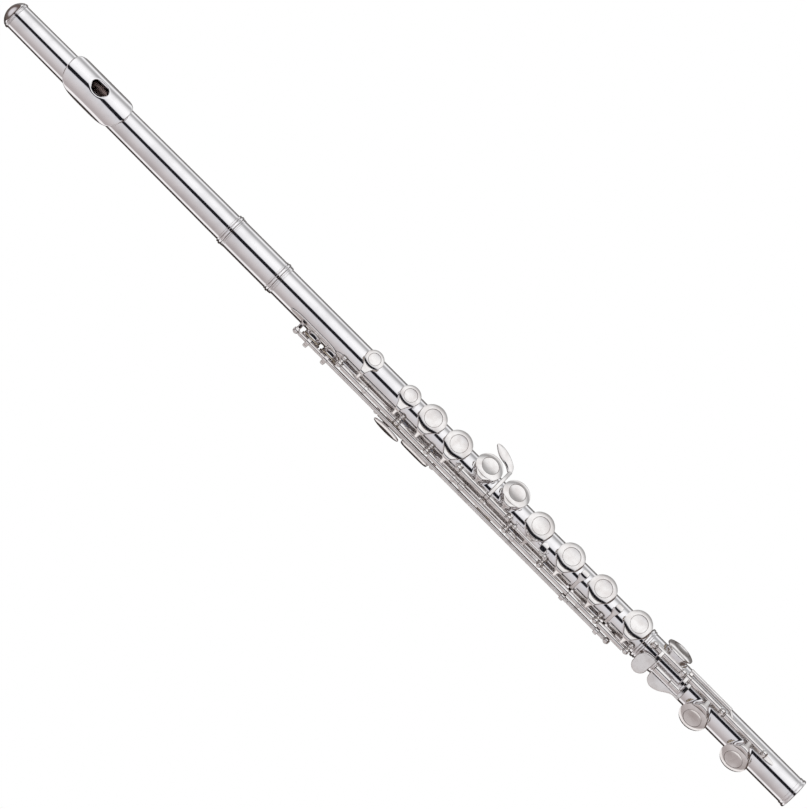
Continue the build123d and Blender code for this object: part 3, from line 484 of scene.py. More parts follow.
def metal(name, colour, tarnish, roughness, spread=0.05, stretch=(1, 1, 1), scratch=0.02, mottle=90.0,
          dust=0.15, reach=0.0016, crevice_shade_colour=(0.16, 0.12, 0.10)):
    """Polished metal: cloudy tarnish, painted shade darkening its crevices, fine wiping marks along the tube
    and uneven gloss.
    """
    n = Nodes(name)
    place = n.add("ShaderNodeTexCoord")
    clouds = n.add("ShaderNodeTexNoise", [("Vector", place.outputs["Object"])], Scale=mottle, Detail=5.0,
                   Roughness=0.6)
    tint = n.add("ShaderNodeValToRGB", [("Fac", clouds.outputs["Fac"])])
    tint.color_ramp.elements[0].position = 0.36
    tint.color_ramp.elements[0].color = (*tarnish, 1)
    tint.color_ramp.elements[1].position = 0.36 + dust
    tint.color_ramp.elements[1].color = (*colour, 1)
    # painted shade: where other surfaces lie close by (AO), the colour is mixed towards a dark brown
    crevice = n.add("ShaderNodeAmbientOcclusion", samples=6, inside=False)
    crevice.inputs["Distance"].default_value = reach
    depth = n.add("ShaderNodeMapRange", [("Value", crevice.outputs["AO"])])
    depth.inputs["From Min"].default_value = 0.15
    depth.inputs["From Max"].default_value = 0.8
    mixed = n.add("ShaderNodeMix", data_type="RGBA")
    n.link(depth.outputs["Result"], mixed.inputs["Factor"])
    mixed.inputs["A"].default_value = (*crevice_shade_colour, 1)
    n.link(tint.outputs["Color"], mixed.inputs["B"])
    n.link(mixed.outputs["Result"], n.shader.inputs["Base Color"])
    drawn = n.add("ShaderNodeMapping", [("Vector", place.outputs["Object"])])
    drawn.inputs["Scale"].default_value = stretch
    marks = n.add("ShaderNodeTexNoise", [("Vector", drawn.outputs["Vector"])], Scale=2600.0, Detail=3.0,
                  Roughness=0.7)
    gloss = n.add("ShaderNodeMapRange", [("Value", marks.outputs["Fac"])])
    gloss.inputs["From Min"].default_value = 0.3
    gloss.inputs["From Max"].default_value = 0.7
    gloss.inputs["To Min"].default_value = roughness
    gloss.inputs["To Max"].default_value = roughness + spread
    n.link(gloss.outputs["Result"], n.shader.inputs["Roughness"])
    bump = n.add("ShaderNodeBump", [("Height", marks.outputs["Fac"])], Strength=scratch, Distance=0.00002)
    n.link(bump.outputs["Normal"], n.shader.inputs["Normal"])
    n.shader.inputs["Metallic"].default_value = 1.0
    return n.material


def matt(name, light, dark, roughness, scale, bump_height, cells=False):
    """Cork, felt and pad skin: mottled colour with a fine uneven surface."""
    n = Nodes(name)
    place = n.add("ShaderNodeTexCoord")
    kind = "ShaderNodeTexVoronoi" if cells else "ShaderNodeTexNoise"
    grain = n.add(kind, [("Vector", place.outputs["Object"])], Scale=scale)
    value = grain.outputs["Distance"] if cells else grain.outputs["Fac"]
    tint = n.add("ShaderNodeValToRGB", [("Fac", value)])
    tint.color_ramp.elements[0].position = 0.3
    tint.color_ramp.elements[0].color = (*dark, 1)
    tint.color_ramp.elements[1].position = 0.65
    tint.color_ramp.elements[1].color = (*light, 1)
    n.link(tint.outputs["Color"], n.shader.inputs["Base Color"])
    n.shader.inputs["Roughness"].default_value = roughness
    bump = n.add("ShaderNodeBump", [("Height", value)], Strength=0.5, Distance=bump_height)
    n.link(bump.outputs["Normal"], n.shader.inputs["Normal"])
    return n.material


ALONG = (0.04, 1, 1)
silver = metal("silver_tube", (0.94, 0.93, 0.95), (0.86, 0.85, 0.87), 0.05, 0.05, ALONG, 0.03, 60.0)
plate_silver = metal("silver_plate", (0.95, 0.94, 0.96), (0.88, 0.87, 0.89), 0.06, 0.05, (1, 1, 1), 0.04,
                     110.0)
# the last colour is the painted shade mixed into the key silver's crevices
key_silver = metal("silver_key", (0.91, 0.89, 0.885), (0.78, 0.745, 0.735), 0.07, 0.06, (1, 1, 1), 0.04,
                   160.0, 0.22, 0.0024, (0.14, 0.10, 0.085))
steel = metal("steel_rod", (0.74, 0.72, 0.71), (0.58, 0.55, 0.53), 0.1, 0.08, ALONG, 0.06, 240.0)
spring_steel = metal("spring", (0.22, 0.25, 0.33), (0.30, 0.24, 0.2), 0.16, 0.08, ALONG, 0.05, 300.0)
inner_silver = metal("silver_bore", (0.70, 0.63, 0.62), (0.52, 0.44, 0.42), 0.2, 0.1, ALONG, 0.08, 45.0, 0.3)
pad_skin = matt("pad_skin", (0.80, 0.70, 0.53), (0.66, 0.55, 0.38), 0.55, 900.0, 0.00006)
cork = matt("cork", (0.62, 0.44, 0.27), (0.30, 0.17, 0.09), 0.85, 1100.0, 0.00015, cells=True)


# ---- meshes into pieces --------------------------------------------------------------------
def mesh_object(name, shape):
    mesh = bpy.data.meshes.new(name)
    mesh.from_pydata([tuple(np.array(p) * MM) for p in shape.points], [], shape.faces)
    work = bmesh.new()
    work.from_mesh(mesh)
    bmesh.ops.remove_doubles(work, verts=work.verts, dist=2e-7)
    bmesh.ops.dissolve_degenerate(work, edges=work.edges, dist=1e-8)
    bmesh.ops.recalc_face_normals(work, faces=work.faces)
    work.to_mesh(mesh)
    work.free()
    item = bpy.data.objects.new(name, mesh)
    bpy.context.scene.collection.objects.link(item)
    return item


def piece(name, shape, body, slot, material, *nodes):
    """One visible piece: its mesh, the body it rides on, its finish and the CAD nodes it stands for."""
    item = shape if isinstance(shape, bpy.types.Object) else mesh_object(name, shape)
    item.data.materials.append(material)
    if not item.data.has_custom_normals:
        item.data.shade_smooth()
        item.data.set_sharp_from_angle(angle=radians(38))
        even = item.modifiers.new("even_normals", "WEIGHTED_NORMAL")
        even.keep_sharp = True
    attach(item, body)
    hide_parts(*nodes)
    return item


def drilled(name, shape, cutters, true_normal):
    """A lathed tube with holes cut through its wall, as its outside and its bore.

    Its normals follow the true surface.
    """
    item = mesh_object(name, shape)
    tool = mesh_object(name + "_cutter", cutters)
    cut = item.modifiers.new("holes", "BOOLEAN")
    cut.object = tool
    cut.operation = "DIFFERENCE"
    cut.solver = "EXACT"
    made = bpy.data.meshes.new_from_object(item.evaluated_get(bpy.context.evaluated_depsgraph_get()))
    bpy.data.objects.remove(tool)
    parts = []
    for inner in (False, True):
        shown = made.copy()
        shown.name = name + ("_bore" if inner else "")
        keep = [inward(polygon) == inner for polygon in made.polygons]
        work = bmesh.new()
        work.from_mesh(shown)
        bmesh.ops.delete(work, geom=[f for f, kept in zip(list(work.faces), keep) if not kept],
                         context="FACES")
        work.to_mesh(shown)
        work.free()
        shown.shade_smooth()
        normals = []
        for polygon in shown.polygons:
            flat = np.array(polygon.normal)
            for v in polygon.vertices:
                normal = true_normal(np.array(shown.vertices[v].co) / MM, flat)
                normals.append(tuple(flat if normal is None else normal))
        shown.normals_split_custom_set(normals)
        part = bpy.data.objects.new(shown.name, shown)
        bpy.context.scene.collection.objects.link(part)
        parts.append(part)
    bpy.data.objects.remove(item)
    return parts


def inward(polygon):
    """Whether a face of a tube looks in at the bore's axis."""
    _, y, z = polygon.center
    return polygon.normal.y * y + polygon.normal.z * z < -0.6 * hypot(y, z)


def radial_normal(slope=lambda x: 0.0):
    """Normals straight out of (or into) the tube, for faces that lie on one of its two surfaces."""

    def normal(p, flat):
        r = hypot(p[1], p[2])
        out = np.array((0, p[1] / r, p[2] / r))
        facing = flat.dot(out)
        if abs(facing) < 0.9:
            return None
        tilted = out + np.array((-slope(p[0]), 0, 0))
        return np.sign(facing) * tilted / np.linalg.norm(tilted)

    return normal


# ---- head joint ----------------------------------------------------------------------------
hole_x = -603.1
hole_length = 12.6
hole_width = 10.2
riser_wall = 1.0
head_start_x = -670.4
head_start_radius = 8.8
taper_end_x = -500.0
head_wall = 0.4
bore_frame = frame_at((0, 0, 0), X_AXIS, (0, 0, 1))
TUBE_SEGMENTS = 256


def head_slope(x):
    """How fast the head's radius grows along X: the taper's rate until a millimetre before its end, then
    none.
    """
    rate = (tube_radius - head_start_radius) / (taper_end_x - head_start_x)
    return rate if x < taper_end_x - 1 else 0.0


head = Shape()
lathe(head, [(head_start_x, head_start_radius), (taper_end_x, tube_radius), (head_end_x, tube_radius),
             (head_end_x, tube_radius - head_wall), (taper_end_x, tube_radius - head_wall),
             (head_start_x, head_start_radius - head_wall)], bore_frame, TUBE_SEGMENTS, closed=True)
opening = Shape()
turn = np.arange(96) / 96 * 2 * pi
opening.rings([[(hole_x + (hole_length / 2 + riser_wall / 2) * cos(a),
                 (hole_width / 2 + riser_wall / 2) * sin(a), z) for a in turn] for z in (4.0, 16.0)])
head_item, head_bore = drilled("head_joint_tube", head, opening, radial_normal(head_slope))
piece("head_joint_tube", head_item, "head", "silver_tube", silver, "head_tube")
piece("head_joint_bore", head_bore, "head", "silver_tube", inner_silver, "head_tube")

plate_length = 48.4
plate_radius = 11.7
plate_wall = 0.9
plate_y = -0.7
plate_z = 2.4
plate_wrap = 19.6
plate_rod_side_wrap = 24.0


def on_plate(u, v, depth):
    """A place on the lip plate: u along the tube, v round the plate's curve, depth below its face."""
    angle = v / plate_radius
    r = plate_radius - depth
    return (hole_x + u, plate_y + r * sin(angle), plate_z + r * cos(angle))


def ellipse(a, b, count, power=2.0):
    return [(a * np.sign(cos(t)) * abs(cos(t)) ** (2 / power),
             b * np.sign(sin(t)) * abs(sin(t)) ** (2 / power))
            for t in np.arange(count) / count * 2 * pi]


count = 160
inner_edge = ellipse(hole_length / 2, hole_width / 2, count)
outer_edge = [(u, v if v > 0 else v * plate_rod_side_wrap / plate_wrap)
              for u, v in ellipse(plate_length / 2, plate_wrap, count, 2.15)]
rows = [(-1, 3.6), (-1, 1.6)]
rows += [(0.0, 0.42), (0.006, 0.2), (0.018, 0.06), (0.035, 0.0)]
rows += [(f, 0.0) for f in (0.08, 0.16, 0.26, 0.38, 0.5, 0.62, 0.74, 0.84, 0.92)]
rows += [(0.945, 0.01), (0.965, 0.06), (0.98, 0.16), (0.992, 0.32), (1.0, 0.55), (0.994, 0.74), (0.98, 0.86),
         (0.96, 0.9)]
rows += [(f, plate_wall) for f in (0.84, 0.66, 0.48, 0.3, 0.16)]
lip = Shape()
rings = []
for fraction, depth in rows:
    ring = []
    for (iu, iv), (ou, ov) in zip(inner_edge, outer_edge):
        f = max(fraction, 0.0)
        # the curve is flat across the hole, so the hole's wall drops straight down
        u, v = iu + (ou - iu) * f, iv + (ov - iv) * f
        ring.append(on_plate(u, v, depth))
    rings.append(ring)
lip.rings(rings, closed=True)
piece("lip_plate_silver", lip, "head", "silver_plate", plate_silver, "lip_plate")

riser = Shape()
wall_rows = []
for grow, top in ((0.02, True), (0.02, False), (riser_wall, False), (riser_wall + 0.15, False),
                  (riser_wall, True)):
    ring = []
    for a in np.arange(count) / count * 2 * pi:
        x = hole_x + (hole_length / 2 + grow) * cos(a)
        y = (hole_width / 2 + grow) * sin(a)
        head_r = head_start_radius + (tube_radius - head_start_radius) * (x - head_start_x) / (
            taper_end_x - head_start_x)
        low = sqrt(head_r ** 2 - y * y) - (0.45 if grow < 1 else 0.15)
        high = plate_z + sqrt((plate_radius - 0.5) ** 2 - (y - plate_y) ** 2)
        ring.append((x, y, high if top else low))
    wall_rows.append(ring)
riser.rings(wall_rows, closed=True)
piece("riser_wall_silver", riser, "head", "silver_plate", plate_silver, "riser")

# ---- crown ---------------------------------------------------------------------------------
crown_tip_x = -677.8
crown_radius = 9.45
crown_rim_x = head_start_x - 1.6
crown = Shape()
dome = [(crown_tip_x + 0.02, 0), (crown_tip_x + 0.02, 1.2), (crown_tip_x + 0.25, 2.6)]
dome += [(crown_tip_x + 0.9, 4.5), (crown_tip_x + 1.9, 6.2), (crown_tip_x + 3.2, 7.7),
         (crown_tip_x + 4.6, 8.8)]
dome = smooth_path(dome, 5)
rim = [(crown_rim_x - 0.55, 9.05), (crown_rim_x - 0.45, 8.85), (crown_rim_x - 0.2, 8.85),
       (crown_rim_x, 9.25), (crown_rim_x + 0.25, crown_radius), (crown_rim_x + 0.6, crown_radius),
       (crown_rim_x + 0.75, 9.2), (crown_rim_x + 0.9, 9.2), (crown_rim_x + 1.05, crown_radius - 0.05),
       (crown_rim_x + 1.4, crown_radius - 0.1), (crown_rim_x + 1.5, 9.0), (crown_rim_x + 1.5, 8.2),
       (head_start_x + 4.5, 8.2), (head_start_x + 4.5, 0)]
lathe(crown, list(dome) + rounded(rim, 0.1, steps=3), bore_frame, 160)
piece("crown_cap", crown, "crown", "silver_tube", silver, "crown")

# ---- body tube, barrel, rings --------------------------------------------------------------
body = Shape()
lathe(body, [(body_start_x, tube_radius), (body_shoulder_x, tube_radius), (body_shoulder_x, tenon_radius),
             (tenon_end_x, tenon_radius), (tenon_end_x, bore_radius), (body_start_x, bore_radius)],
      bore_frame, TUBE_SEGMENTS, closed=True)


def hole_cutters(cups):
    tools = Shape()
    for cup in cups:
        lathe(tools, [(5.0, 0), (5.0, cup[3] + 0.2), (14.0, cup[3] + 0.2), (14.0, 0)], cup_frame(cup), 96)
    return tools


body_item, body_bore = drilled("body_joint_tube", body, hole_cutters(BODY_CUPS), radial_normal())
chimneys = Shape()
for cup in BODY_CUPS:
    add_chimney(chimneys, cup)
piece("body_joint_tube", body_item, "body", "silver_tube", silver, "body_tube")
piece("body_joint_bore", body_bore, "body", "silver_tube", inner_silver, "body_tube")
piece("body_tone_holes", chimneys, "body", "silver_tube", silver, "body_tube")

barrel_start_x = -488.5
barrel_end_x = -442.2
barrel = Shape()
lathe(barrel, rounded([(barrel_start_x + 0.3, 9.95), (barrel_start_x + 0.3, 10.4), (barrel_end_x, 10.4),
                       (barrel_end_x, 9.92), (body_start_x, 9.92), (body_start_x, 9.95)], 0.1, closed=True,
                       steps=3),
      bore_frame, TUBE_SEGMENTS, closed=True)
piece("barrel_sleeve", barrel, "body", "silver_tube", silver, "barrel")


def turned_ring(shape, start, length, bead, step, inner, mirror=False):
    """A turned ring: a round bead, a groove, two fine steps and a small bead at its far edge."""
    outline = [(0, inner), (0, step - 0.3), (0.12, step - 0.1), (0.85, step), (1.0, step - 0.3),
               (1.15, step - 0.3), (1.3, bead - 0.4), (1.6, bead - 0.12), (2.0, bead), (2.5, bead),
               (2.9, bead - 0.12), (3.2, bead - 0.4), (3.3, step - 0.3), (3.45, step - 0.3),
               (3.55, step + 0.05), (4.2, step), (4.3, step - 0.28), (4.45, step - 0.28),
               (4.55, step - 0.1), (length - 0.1, step - 0.16), (length, step - 0.4), (length, inner)]
    if mirror:
        outline = [(length - h, r) for h, r in reversed(outline)]
    outline = [(start + h, r) for h, r in outline]
    lathe(shape, rounded(outline, 0.14, closed=True, steps=3), bore_frame, 192, closed=True)


rings_shape = Shape()
turned_ring(rings_shape, barrel_start_x, 5.4, 11.1, 10.75, 10.0)
turned_ring(rings_shape, barrel_end_x - 5.8, 5.4, 11.1, 10.75, 10.0)
piece("barrel_turned_rings", rings_shape, "body", "silver_tube", silver, "barrel_rings")


# ---- ribs ----------------------------------------------------------------------------------
def rib(shape, x0, x1, angle0, angle1, top=rib_radius, inner=tube_radius - 0.05, gaps=(), point=7.0,
        cups=()):
    """A strap along the tube with pointed ends. It is scalloped round the tone holes beside it."""
    stops = [x0] + [edge for gap in gaps for edge in (gap - 2.6, gap + 2.6)] + [x1]
    middle = (angle0 + angle1) / 2
    for start, end in zip(stops[::2], stops[1::2]):
        rings = []
        for x in np.linspace(start, end, max(8, int((end - start) / 0.8))):
            ease = min(1.0, (x - x0 + 0.3) / point, (x1 - x + 0.3) / point) if point else 1.0
            ease = sqrt(max(1 - (1 - ease) ** 2, 0.02))
            low, high = middle + (angle0 - middle) * ease, middle + (angle1 - middle) * ease
            for cup in cups:
                clear = cup[3] + 1.1
                dx = abs(x - cup[0])
                if dx < clear:
                    half = np.degrees(sqrt(clear * clear - dx * dx) / tube_radius)
                    if cup[1] > middle:
                        high = min(high, max(cup[1] - half, low + 1.0))
                    else:
                        low = max(low, min(cup[1] + half, high - 1.0))
            ring = [around(a, inner) for a in np.linspace(low, high, 9)]
            edge = (high - low) * 0.04
            ring += [around(high, top - 0.25), around(high - edge, top - 0.05)]
            ring += [around(a, top) for a in np.linspace(high - 2 * edge, low + 2 * edge, 9)]
            ring += [around(low + edge, top - 0.05), around(low, top - 0.25)]
            rings.append([(x, *p) for p in ring])
        shape.rings(rings)


main_rib = Shape()
rib(main_rib, -388.0, -133.2, -76, -54, gaps=(g_sharp_arm_x, *trill_touches_x), point=8.0, cups=BODY_CUPS)
piece("main_rib_strap", main_rib, "body", "silver_key", key_silver, "main_rib")
trill_rib = Shape()
rib(trill_rib, -426.3, -388.2, -80, -60, point=10.0, cups=(D_TRILL_CUP, D_SHARP_TRILL_CUP))
piece("trill_rib_strap", trill_rib, "body", "silver_key", key_silver, "trill_rib")
g_rib = Shape()
rib(g_rib, -289.0, -240.0, -48.5, -36, top=rib_radius - 0.1, cups=BODY_CUPS)
piece("g_rib_strap", g_rib, "body", "silver_key", key_silver, "g_rib")

# ---- posts, rods and springs ---------------------------------------------------------------
main_posts_x = (-381.9, -331.9, -306.9, -239.2, -209.4, -161.2, -135.0)
g_posts_x = (-285.9, -242.9)
thumb_posts_x = (-345.5, -297.5)
lever_posts_x = (-236.4, -210.9)
posts = Shape()
for x in main_posts_x:
    add_post(posts, main_rod, x, -58)
add_post(posts, trill_rod, -414.8, -72)
add_post(posts, trill_rod, -147.8, -96)
for x in g_posts_x:
    add_post(posts, g_rod, x, -42)
for x in thumb_posts_x:
    add_post(posts, thumb_rod, x, -122, ball=1.9)
for x in lever_posts_x:
    add_post(posts, lever_rod, x, -54, ball=1.3, stem=0.68)
piece("body_ball_posts", posts, "body", "silver_key", key_silver, "body_posts")


def rod_piece(name, body, axis, x0, x1, node, radius=rod_radius):
    shape = Shape()
    bar(shape, axis, x0, x1, radius, edge=0.25)
    piece(name, shape, body, "steel_rod", steel, node)


rod_piece("left_steel_rod", "a_sharp_key", main_rod, -383.6, -240.0, "left_hand_rod")
rod_piece("right_steel_rod", "f_sharp_key", main_rod, -238.4, -133.4, "right_hand_rod")
rod_piece("g_steel_rod", "body", g_rod, -286.9, -241.9, "g_rod")
rod_piece("thumb_steel_rod", "body", thumb_rod, -346.3, -296.7, "thumb_rod")
rod_piece("lever_steel_rod", "body", lever_rod, -236.8, -210.5, "side_lever_rod", 0.5)
rod_piece("foot_steel_rod", "foot", foot_rod, -126.2, -30.5, "foot_rod")

springs = Shape()
spring_line = around(-65, 12.3)
for start, length in ((-381.9, 11.0), (-331.9, 12.0), (-306.9, 9.0), (-239.2, 12.0), (-209.4, 9.0),
                      (-161.2, -8.5), (-135.0, -4.5)):
    needle(springs, spring_line, start, start + length)
piece("body_needle_springs", springs, "body", "spring", spring_steel, "body_springs")


# ---- keys on the main rods -----------------------------------------------------------------
def add_hinge(shape, rod, spans, radius, hole=rod_radius + 0.03):
    """Lengths of hinge tube with softened ends."""
    for start, end in spans:
        bar(shape, rod, start, end, radius, hole=hole, edge=0.22)


def add_collars(shape, rod, places, radius=2.45, width=2.4):
    for place in places:
        bar(shape, rod, place - width / 2, place + width / 2, radius, hole=1.2, edge=0.35)


def stack_key(name, body, cups, spans, pads, collars=(), rod=main_rod, bow=0, short=2.2):
    """An open-standing key and its pads. The key's CAD node has its body's name."""
    shape = Shape()
    add_hinge(shape, rod, spans, main_hinge_radius)
    for cup in cups:
        add_arm(shape, cup, rod, open_angle, main_hinge_radius, root_half=0.66 * cup[2], stem_half=1.15,
                inward=bow, short=short)
        add_cup(shape, cup, rod, open_angle)
    add_collars(shape, rod, collars)
    piece(name, shape, body, "silver_key", key_silver, body)
    soft = Shape()
    for cup in cups:
        add_pad(soft, cup, rod, open_angle)
    piece(name + "_pads", soft, body, "pad", pad_skin, pads)


stack_key("c_key_cups", "c_key", [C_SHARP_VENT, C_CUP], [(-381.9 + ball_clear, -331.9 - ball_clear)],
          "c_pads", (-359.6,))
stack_key("a_sharp_key_cup", "a_sharp_key", [A_SHARP_CUP], [(-331.9 + ball_clear, -306.9 - ball_clear),
                                                            (-279.0, -239.2 - ball_clear)],
          "a_sharp_pad", (-275.8,))
stack_key("a_key_cup", "a_key", [A_CUP], [(-306.9 + ball_clear, -279.2)], "a_pad", (-283.4,))
stack_key("g_key_cups", "g_key", [G_UPPER_CUP, G_LOWER_CUP], [(-285.9 + ball_clear, -262.9),
                                                              (-259.7, -242.9 - ball_clear)],
          "g_pads", rod=g_rod, short=1.4)
stack_key("f_sharp_key_cup", "f_sharp_key", [F_SHARP_CUP], [(-239.2 + ball_clear, -209.4 - ball_clear)],
          "f_sharp_pad", (-232.2,), bow=1.0)
stack_key("f_key_cup", "f_key", [F_CUP], [(-209.4 + ball_clear, -185.1)], "f_pad")
stack_key("e_key_cup", "e_key", [E_CUP], [(-184.9, -161.2 - ball_clear)], "e_pad", (-175.2,))
stack_key("d_key_cup", "d_key", [D_CUP], [(-161.2 + ball_clear, -135.0 - ball_clear)], "d_pad")


def key_with_pad(name, body, shape, cup, rod, angle, pad):
    """A key with one cup and its pad. The key's CAD node has its body's name."""
    piece(name, shape, body, "silver_key", key_silver, body)
    soft = Shape()
    add_pad(soft, cup, rod, angle)
    piece(name + "_pad", soft, body, "pad", pad_skin, pad)


# ---- G sharp key ---------------------------------------------------------------------------
g_sharp = Shape()
bar(g_sharp, g_rod, g_sharp_arm_x - 1.2, g_sharp_arm_x + 1.2, 1.65, hole=0.93, edge=0.25)
strip(g_sharp, [(-8.6, 12.9), (-3.0, 14.0), (5.0, 13.6), (13.0, 11.3)], g_sharp_arm_x, 2.4, 1.3, 2.6)
strip(g_sharp, [(-9.6, 10.1), (-9.4, 7.0), around(-72, 10.6), around(-90, 10.6), around(-106, 10.8),
                around(-119, 12.3), around(-128, 14.1)], g_sharp_arm_x, 2.4, 0.8)
leaf = smooth_path([(1.2, 11.4), (-1.0, 16.9), (-8.2, 20.8), (-15.2, 21.8), (-17.7, 19.8), (-12.2, 15.6),
                    (-5.2, 13.8), (-1.2, 11.4)], 12, closed=True)
plate(g_sharp, leaf, ((-1.5, 13.9), (-14.5, 19.7)), frame_at((g_sharp_arm_x, 0, 11.1), (0, 0, 1)), 1.2, 0.3)
add_cup(g_sharp, G_SHARP_CUP, g_rod)
key_with_pad("g_sharp_lever_key", "g_sharp_key", g_sharp, G_SHARP_CUP, g_rod, 0.0, "g_sharp_pad")

# ---- thumb keys ----------------------------------------------------------------------------
thumb_b = Shape()
bar(thumb_b, thumb_rod, -343.4, -322.4, 1.7, hole=0.93)
add_arm(thumb_b, THUMB_CUP, thumb_rod, thumb_open_angle, 1.7, root_half=4.5, inward=0.3)
add_cup(thumb_b, THUMB_CUP, thumb_rod, thumb_open_angle)
strip(thumb_b, [(-14.6, -6.9), (-16.4, -7.2), (-17.7, -8.0)], -336.0, 5.0, 1.3)
plate(thumb_b, ellipse(10.2, 3.9, 96), ((-6.3, 0), (6.3, 0)), frame_at((-333.4, -17.6, -6.8), (0, -1, 0)),
      1.2, 0.3)
key_with_pad("thumb_b_key_cup", "thumb_b_key", thumb_b, THUMB_CUP, thumb_rod, thumb_open_angle,
             "thumb_b_pad")

thumb_bb = Shape()
bar(thumb_bb, thumb_rod, -322.2, -299.6, 1.7, hole=0.93)
strip(thumb_bb, [(-13.6, -7.6), (-15.0, -7.8), (-15.9, -8.4)], -312.0, 5.0, 1.3)
plate(thumb_bb, ellipse(11.0, 3.2, 96, 3.6), ((-7.5, 0), (7.5, 0)),
      frame_at((-311.0, -15.8, -6.6), (0, -1, 0)), 1.2, 0.3)
strip(thumb_bb, [(-12.6, -6.0), around(-108, 11.0), around(-92, 11.2)], -303.0, 2.4, 1.0)
piece("thumb_b_flat_lever", thumb_bb, "thumb_bb_lever", "silver_key", key_silver, "thumb_bb_lever")


# ---- trill keys ----------------------------------------------------------------------------
def trill_touch(shape, x):
    """The arm from the trill rod round the tube, under the main rods, to a rounded touch on top."""
    strip(shape, [(-15.6, 1.0), (-13.2, 0.9), around(-76, 11.2), around(-58, 12.0), (-7.0, 11.2),
                  (-4.9, 13.4), (-3.3, 14.5), (-1.5, 15.1), (0.2, 15.1), (1.1, 14.8)], x, 5.2, 1.0, 3.4,
          taper=((0, 0.42, 0.5, 0.62, 0.76, 0.9, 0.96, 0.985, 1.0),
                 (0.42, 0.42, 0.5, 0.85, 1.0, 0.93, 0.72, 0.5, 0.2)))


def trill_cup(shape, cup):
    """The cup, and the bridge that ties its top to the collar on the trill rod."""
    add_cup(shape, cup, trill_rod)
    strip(shape, [(-16.9, 0.2), (-18.4, -2.6), (-16.4, -5.8), around(cup[1], cup[4] + cup_height - 0.3)],
          cup[0], 3.0, 1.1, taper=((0, 0.4, 0.75, 1.0), (1.0, 0.95, 0.7, 0.6)))


d_trill = Shape()
bar(d_trill, trill_rod, -394.6, -181.4, trill_hinge_radius, hole=0.74)
trill_touch(d_trill, trill_touches_x[0])
add_collars(d_trill, trill_rod, (D_TRILL_CUP[0], trill_touches_x[0]), 2.4, 2.8)
trill_cup(d_trill, D_TRILL_CUP)
key_with_pad("d_trill_key_cup", "d_trill_key", d_trill, D_TRILL_CUP, trill_rod, 0.0, "d_trill_pad")

d_sharp_trill = Shape()
bar(d_sharp_trill, trill_rod, -415.4, -147.2, 0.7)
bar(d_sharp_trill, trill_rod, -412.5, -394.8, trill_hinge_radius)
bar(d_sharp_trill, trill_rod, -181.2, -150.1, trill_hinge_radius)
trill_touch(d_sharp_trill, trill_touches_x[1])
add_collars(d_sharp_trill, trill_rod, (D_SHARP_TRILL_CUP[0], trill_touches_x[1]), 2.4, 2.8)
trill_cup(d_sharp_trill, D_SHARP_TRILL_CUP)
key_with_pad("d_sharp_trill_key_cup", "d_sharp_trill_key", d_sharp_trill, D_SHARP_TRILL_CUP, trill_rod, 0.0,
             "d_sharp_trill_pad")

# ---- side B flat lever ---------------------------------------------------------------------
lever_touch_x = -214.9
side_bb = Shape()
bar(side_bb, lever_rod, -234.9, -215.6, 1.0, hole=0.53)
strip(side_bb, [(-12.0, 11.7), (-11.0, 12.9), (-8.8, 14.0), (-6.6, 14.7), (-4.7, 14.8)], lever_touch_x, 4.6,
      1.1, 3.0, taper=((0, 0.12, 0.5, 0.86, 0.95, 1.0), (0.35, 0.8, 1.0, 1.0, 0.8, 0.3)))
piece("side_b_flat_lever", side_bb, "side_bb_lever", "silver_key", key_silver, "side_bb_lever")

# ---- foot joint ----------------------------------------------------------------------------
foot = Shape()
lathe(foot, [(socket_start_x, socket_radius), (socket_end_x, socket_radius),
             (socket_end_x + 0.25, tube_radius), (0, tube_radius), (0, bore_radius),
             (tenon_end_x + 0.3, bore_radius), (tenon_end_x + 0.3, 9.85), (socket_start_x, 9.85)],
      bore_frame, TUBE_SEGMENTS, closed=True)
foot_item, foot_bore = drilled("foot_joint_tube", foot, hole_cutters(FOOT_CUPS), radial_normal())
piece("foot_joint_tube", foot_item, "foot", "silver_tube", silver, "foot_tube")
piece("foot_joint_bore", foot_bore, "foot", "silver_tube", inner_silver, "foot_tube")
foot_chimneys = Shape()
for cup in FOOT_CUPS:
    add_chimney(foot_chimneys, cup)
piece("foot_tone_holes", foot_chimneys, "foot", "silver_tube", silver, "foot_tube")

foot_rings = Shape()
lathe(foot_rings, rounded([(-131.7, 10.1), (-131.7, 10.6), (-131.5, 10.95), (-131.1, 11.1), (-130.3, 11.1),
                           (-129.9, 10.9), (-129.7, 10.55), (-129.5, 10.55), (-129.35, 10.75),
                           (-128.6, 10.75), (-128.3, 10.5), (-128.3, 10.1)], 0.12, closed=True, steps=3),
      bore_frame, 192, closed=True)
lathe(foot_rings, rounded([(-4.0, 9.85), (-4.0, 10.1), (-3.7, 10.25), (-2.3, 10.25), (-2.1, 10.1),
                           (-1.9, 10.1), (-1.7, 10.45), (-1.3, 10.65), (-0.4, 10.65), (0, 10.4), (0, 9.6),
                           (-0.3, 9.5), (-0.6, 9.5)], 0.12, closed=True, steps=3), bore_frame, 192,
                           closed=True)
piece("foot_turned_rings", foot_rings, "foot", "silver_tube", silver, "foot_rings")

foot_rib = Shape()
rib(foot_rib, -128.2, -22.9, -14, 6, point=9.0, cups=(FOOT_D_SHARP_CUP,))
piece("foot_rib_strap", foot_rib, "foot", "silver_key", key_silver, "foot_rib")
foot_posts = Shape()
for x in (-125.3, -100.9, -67.4, -31.4):
    add_post(foot_posts, foot_rod, x, -4)
piece("foot_ball_posts", foot_posts, "foot", "silver_key", key_silver, "foot_posts")
foot_springs = Shape()
for start, end in ((-125.3, -119.5), (-67.4, -61.0), (-31.4, -37.5)):
    needle(foot_springs, around(-4, 11.6), start, end)
piece("foot_needle_springs", foot_springs, "foot", "spring", spring_steel, "foot_springs")

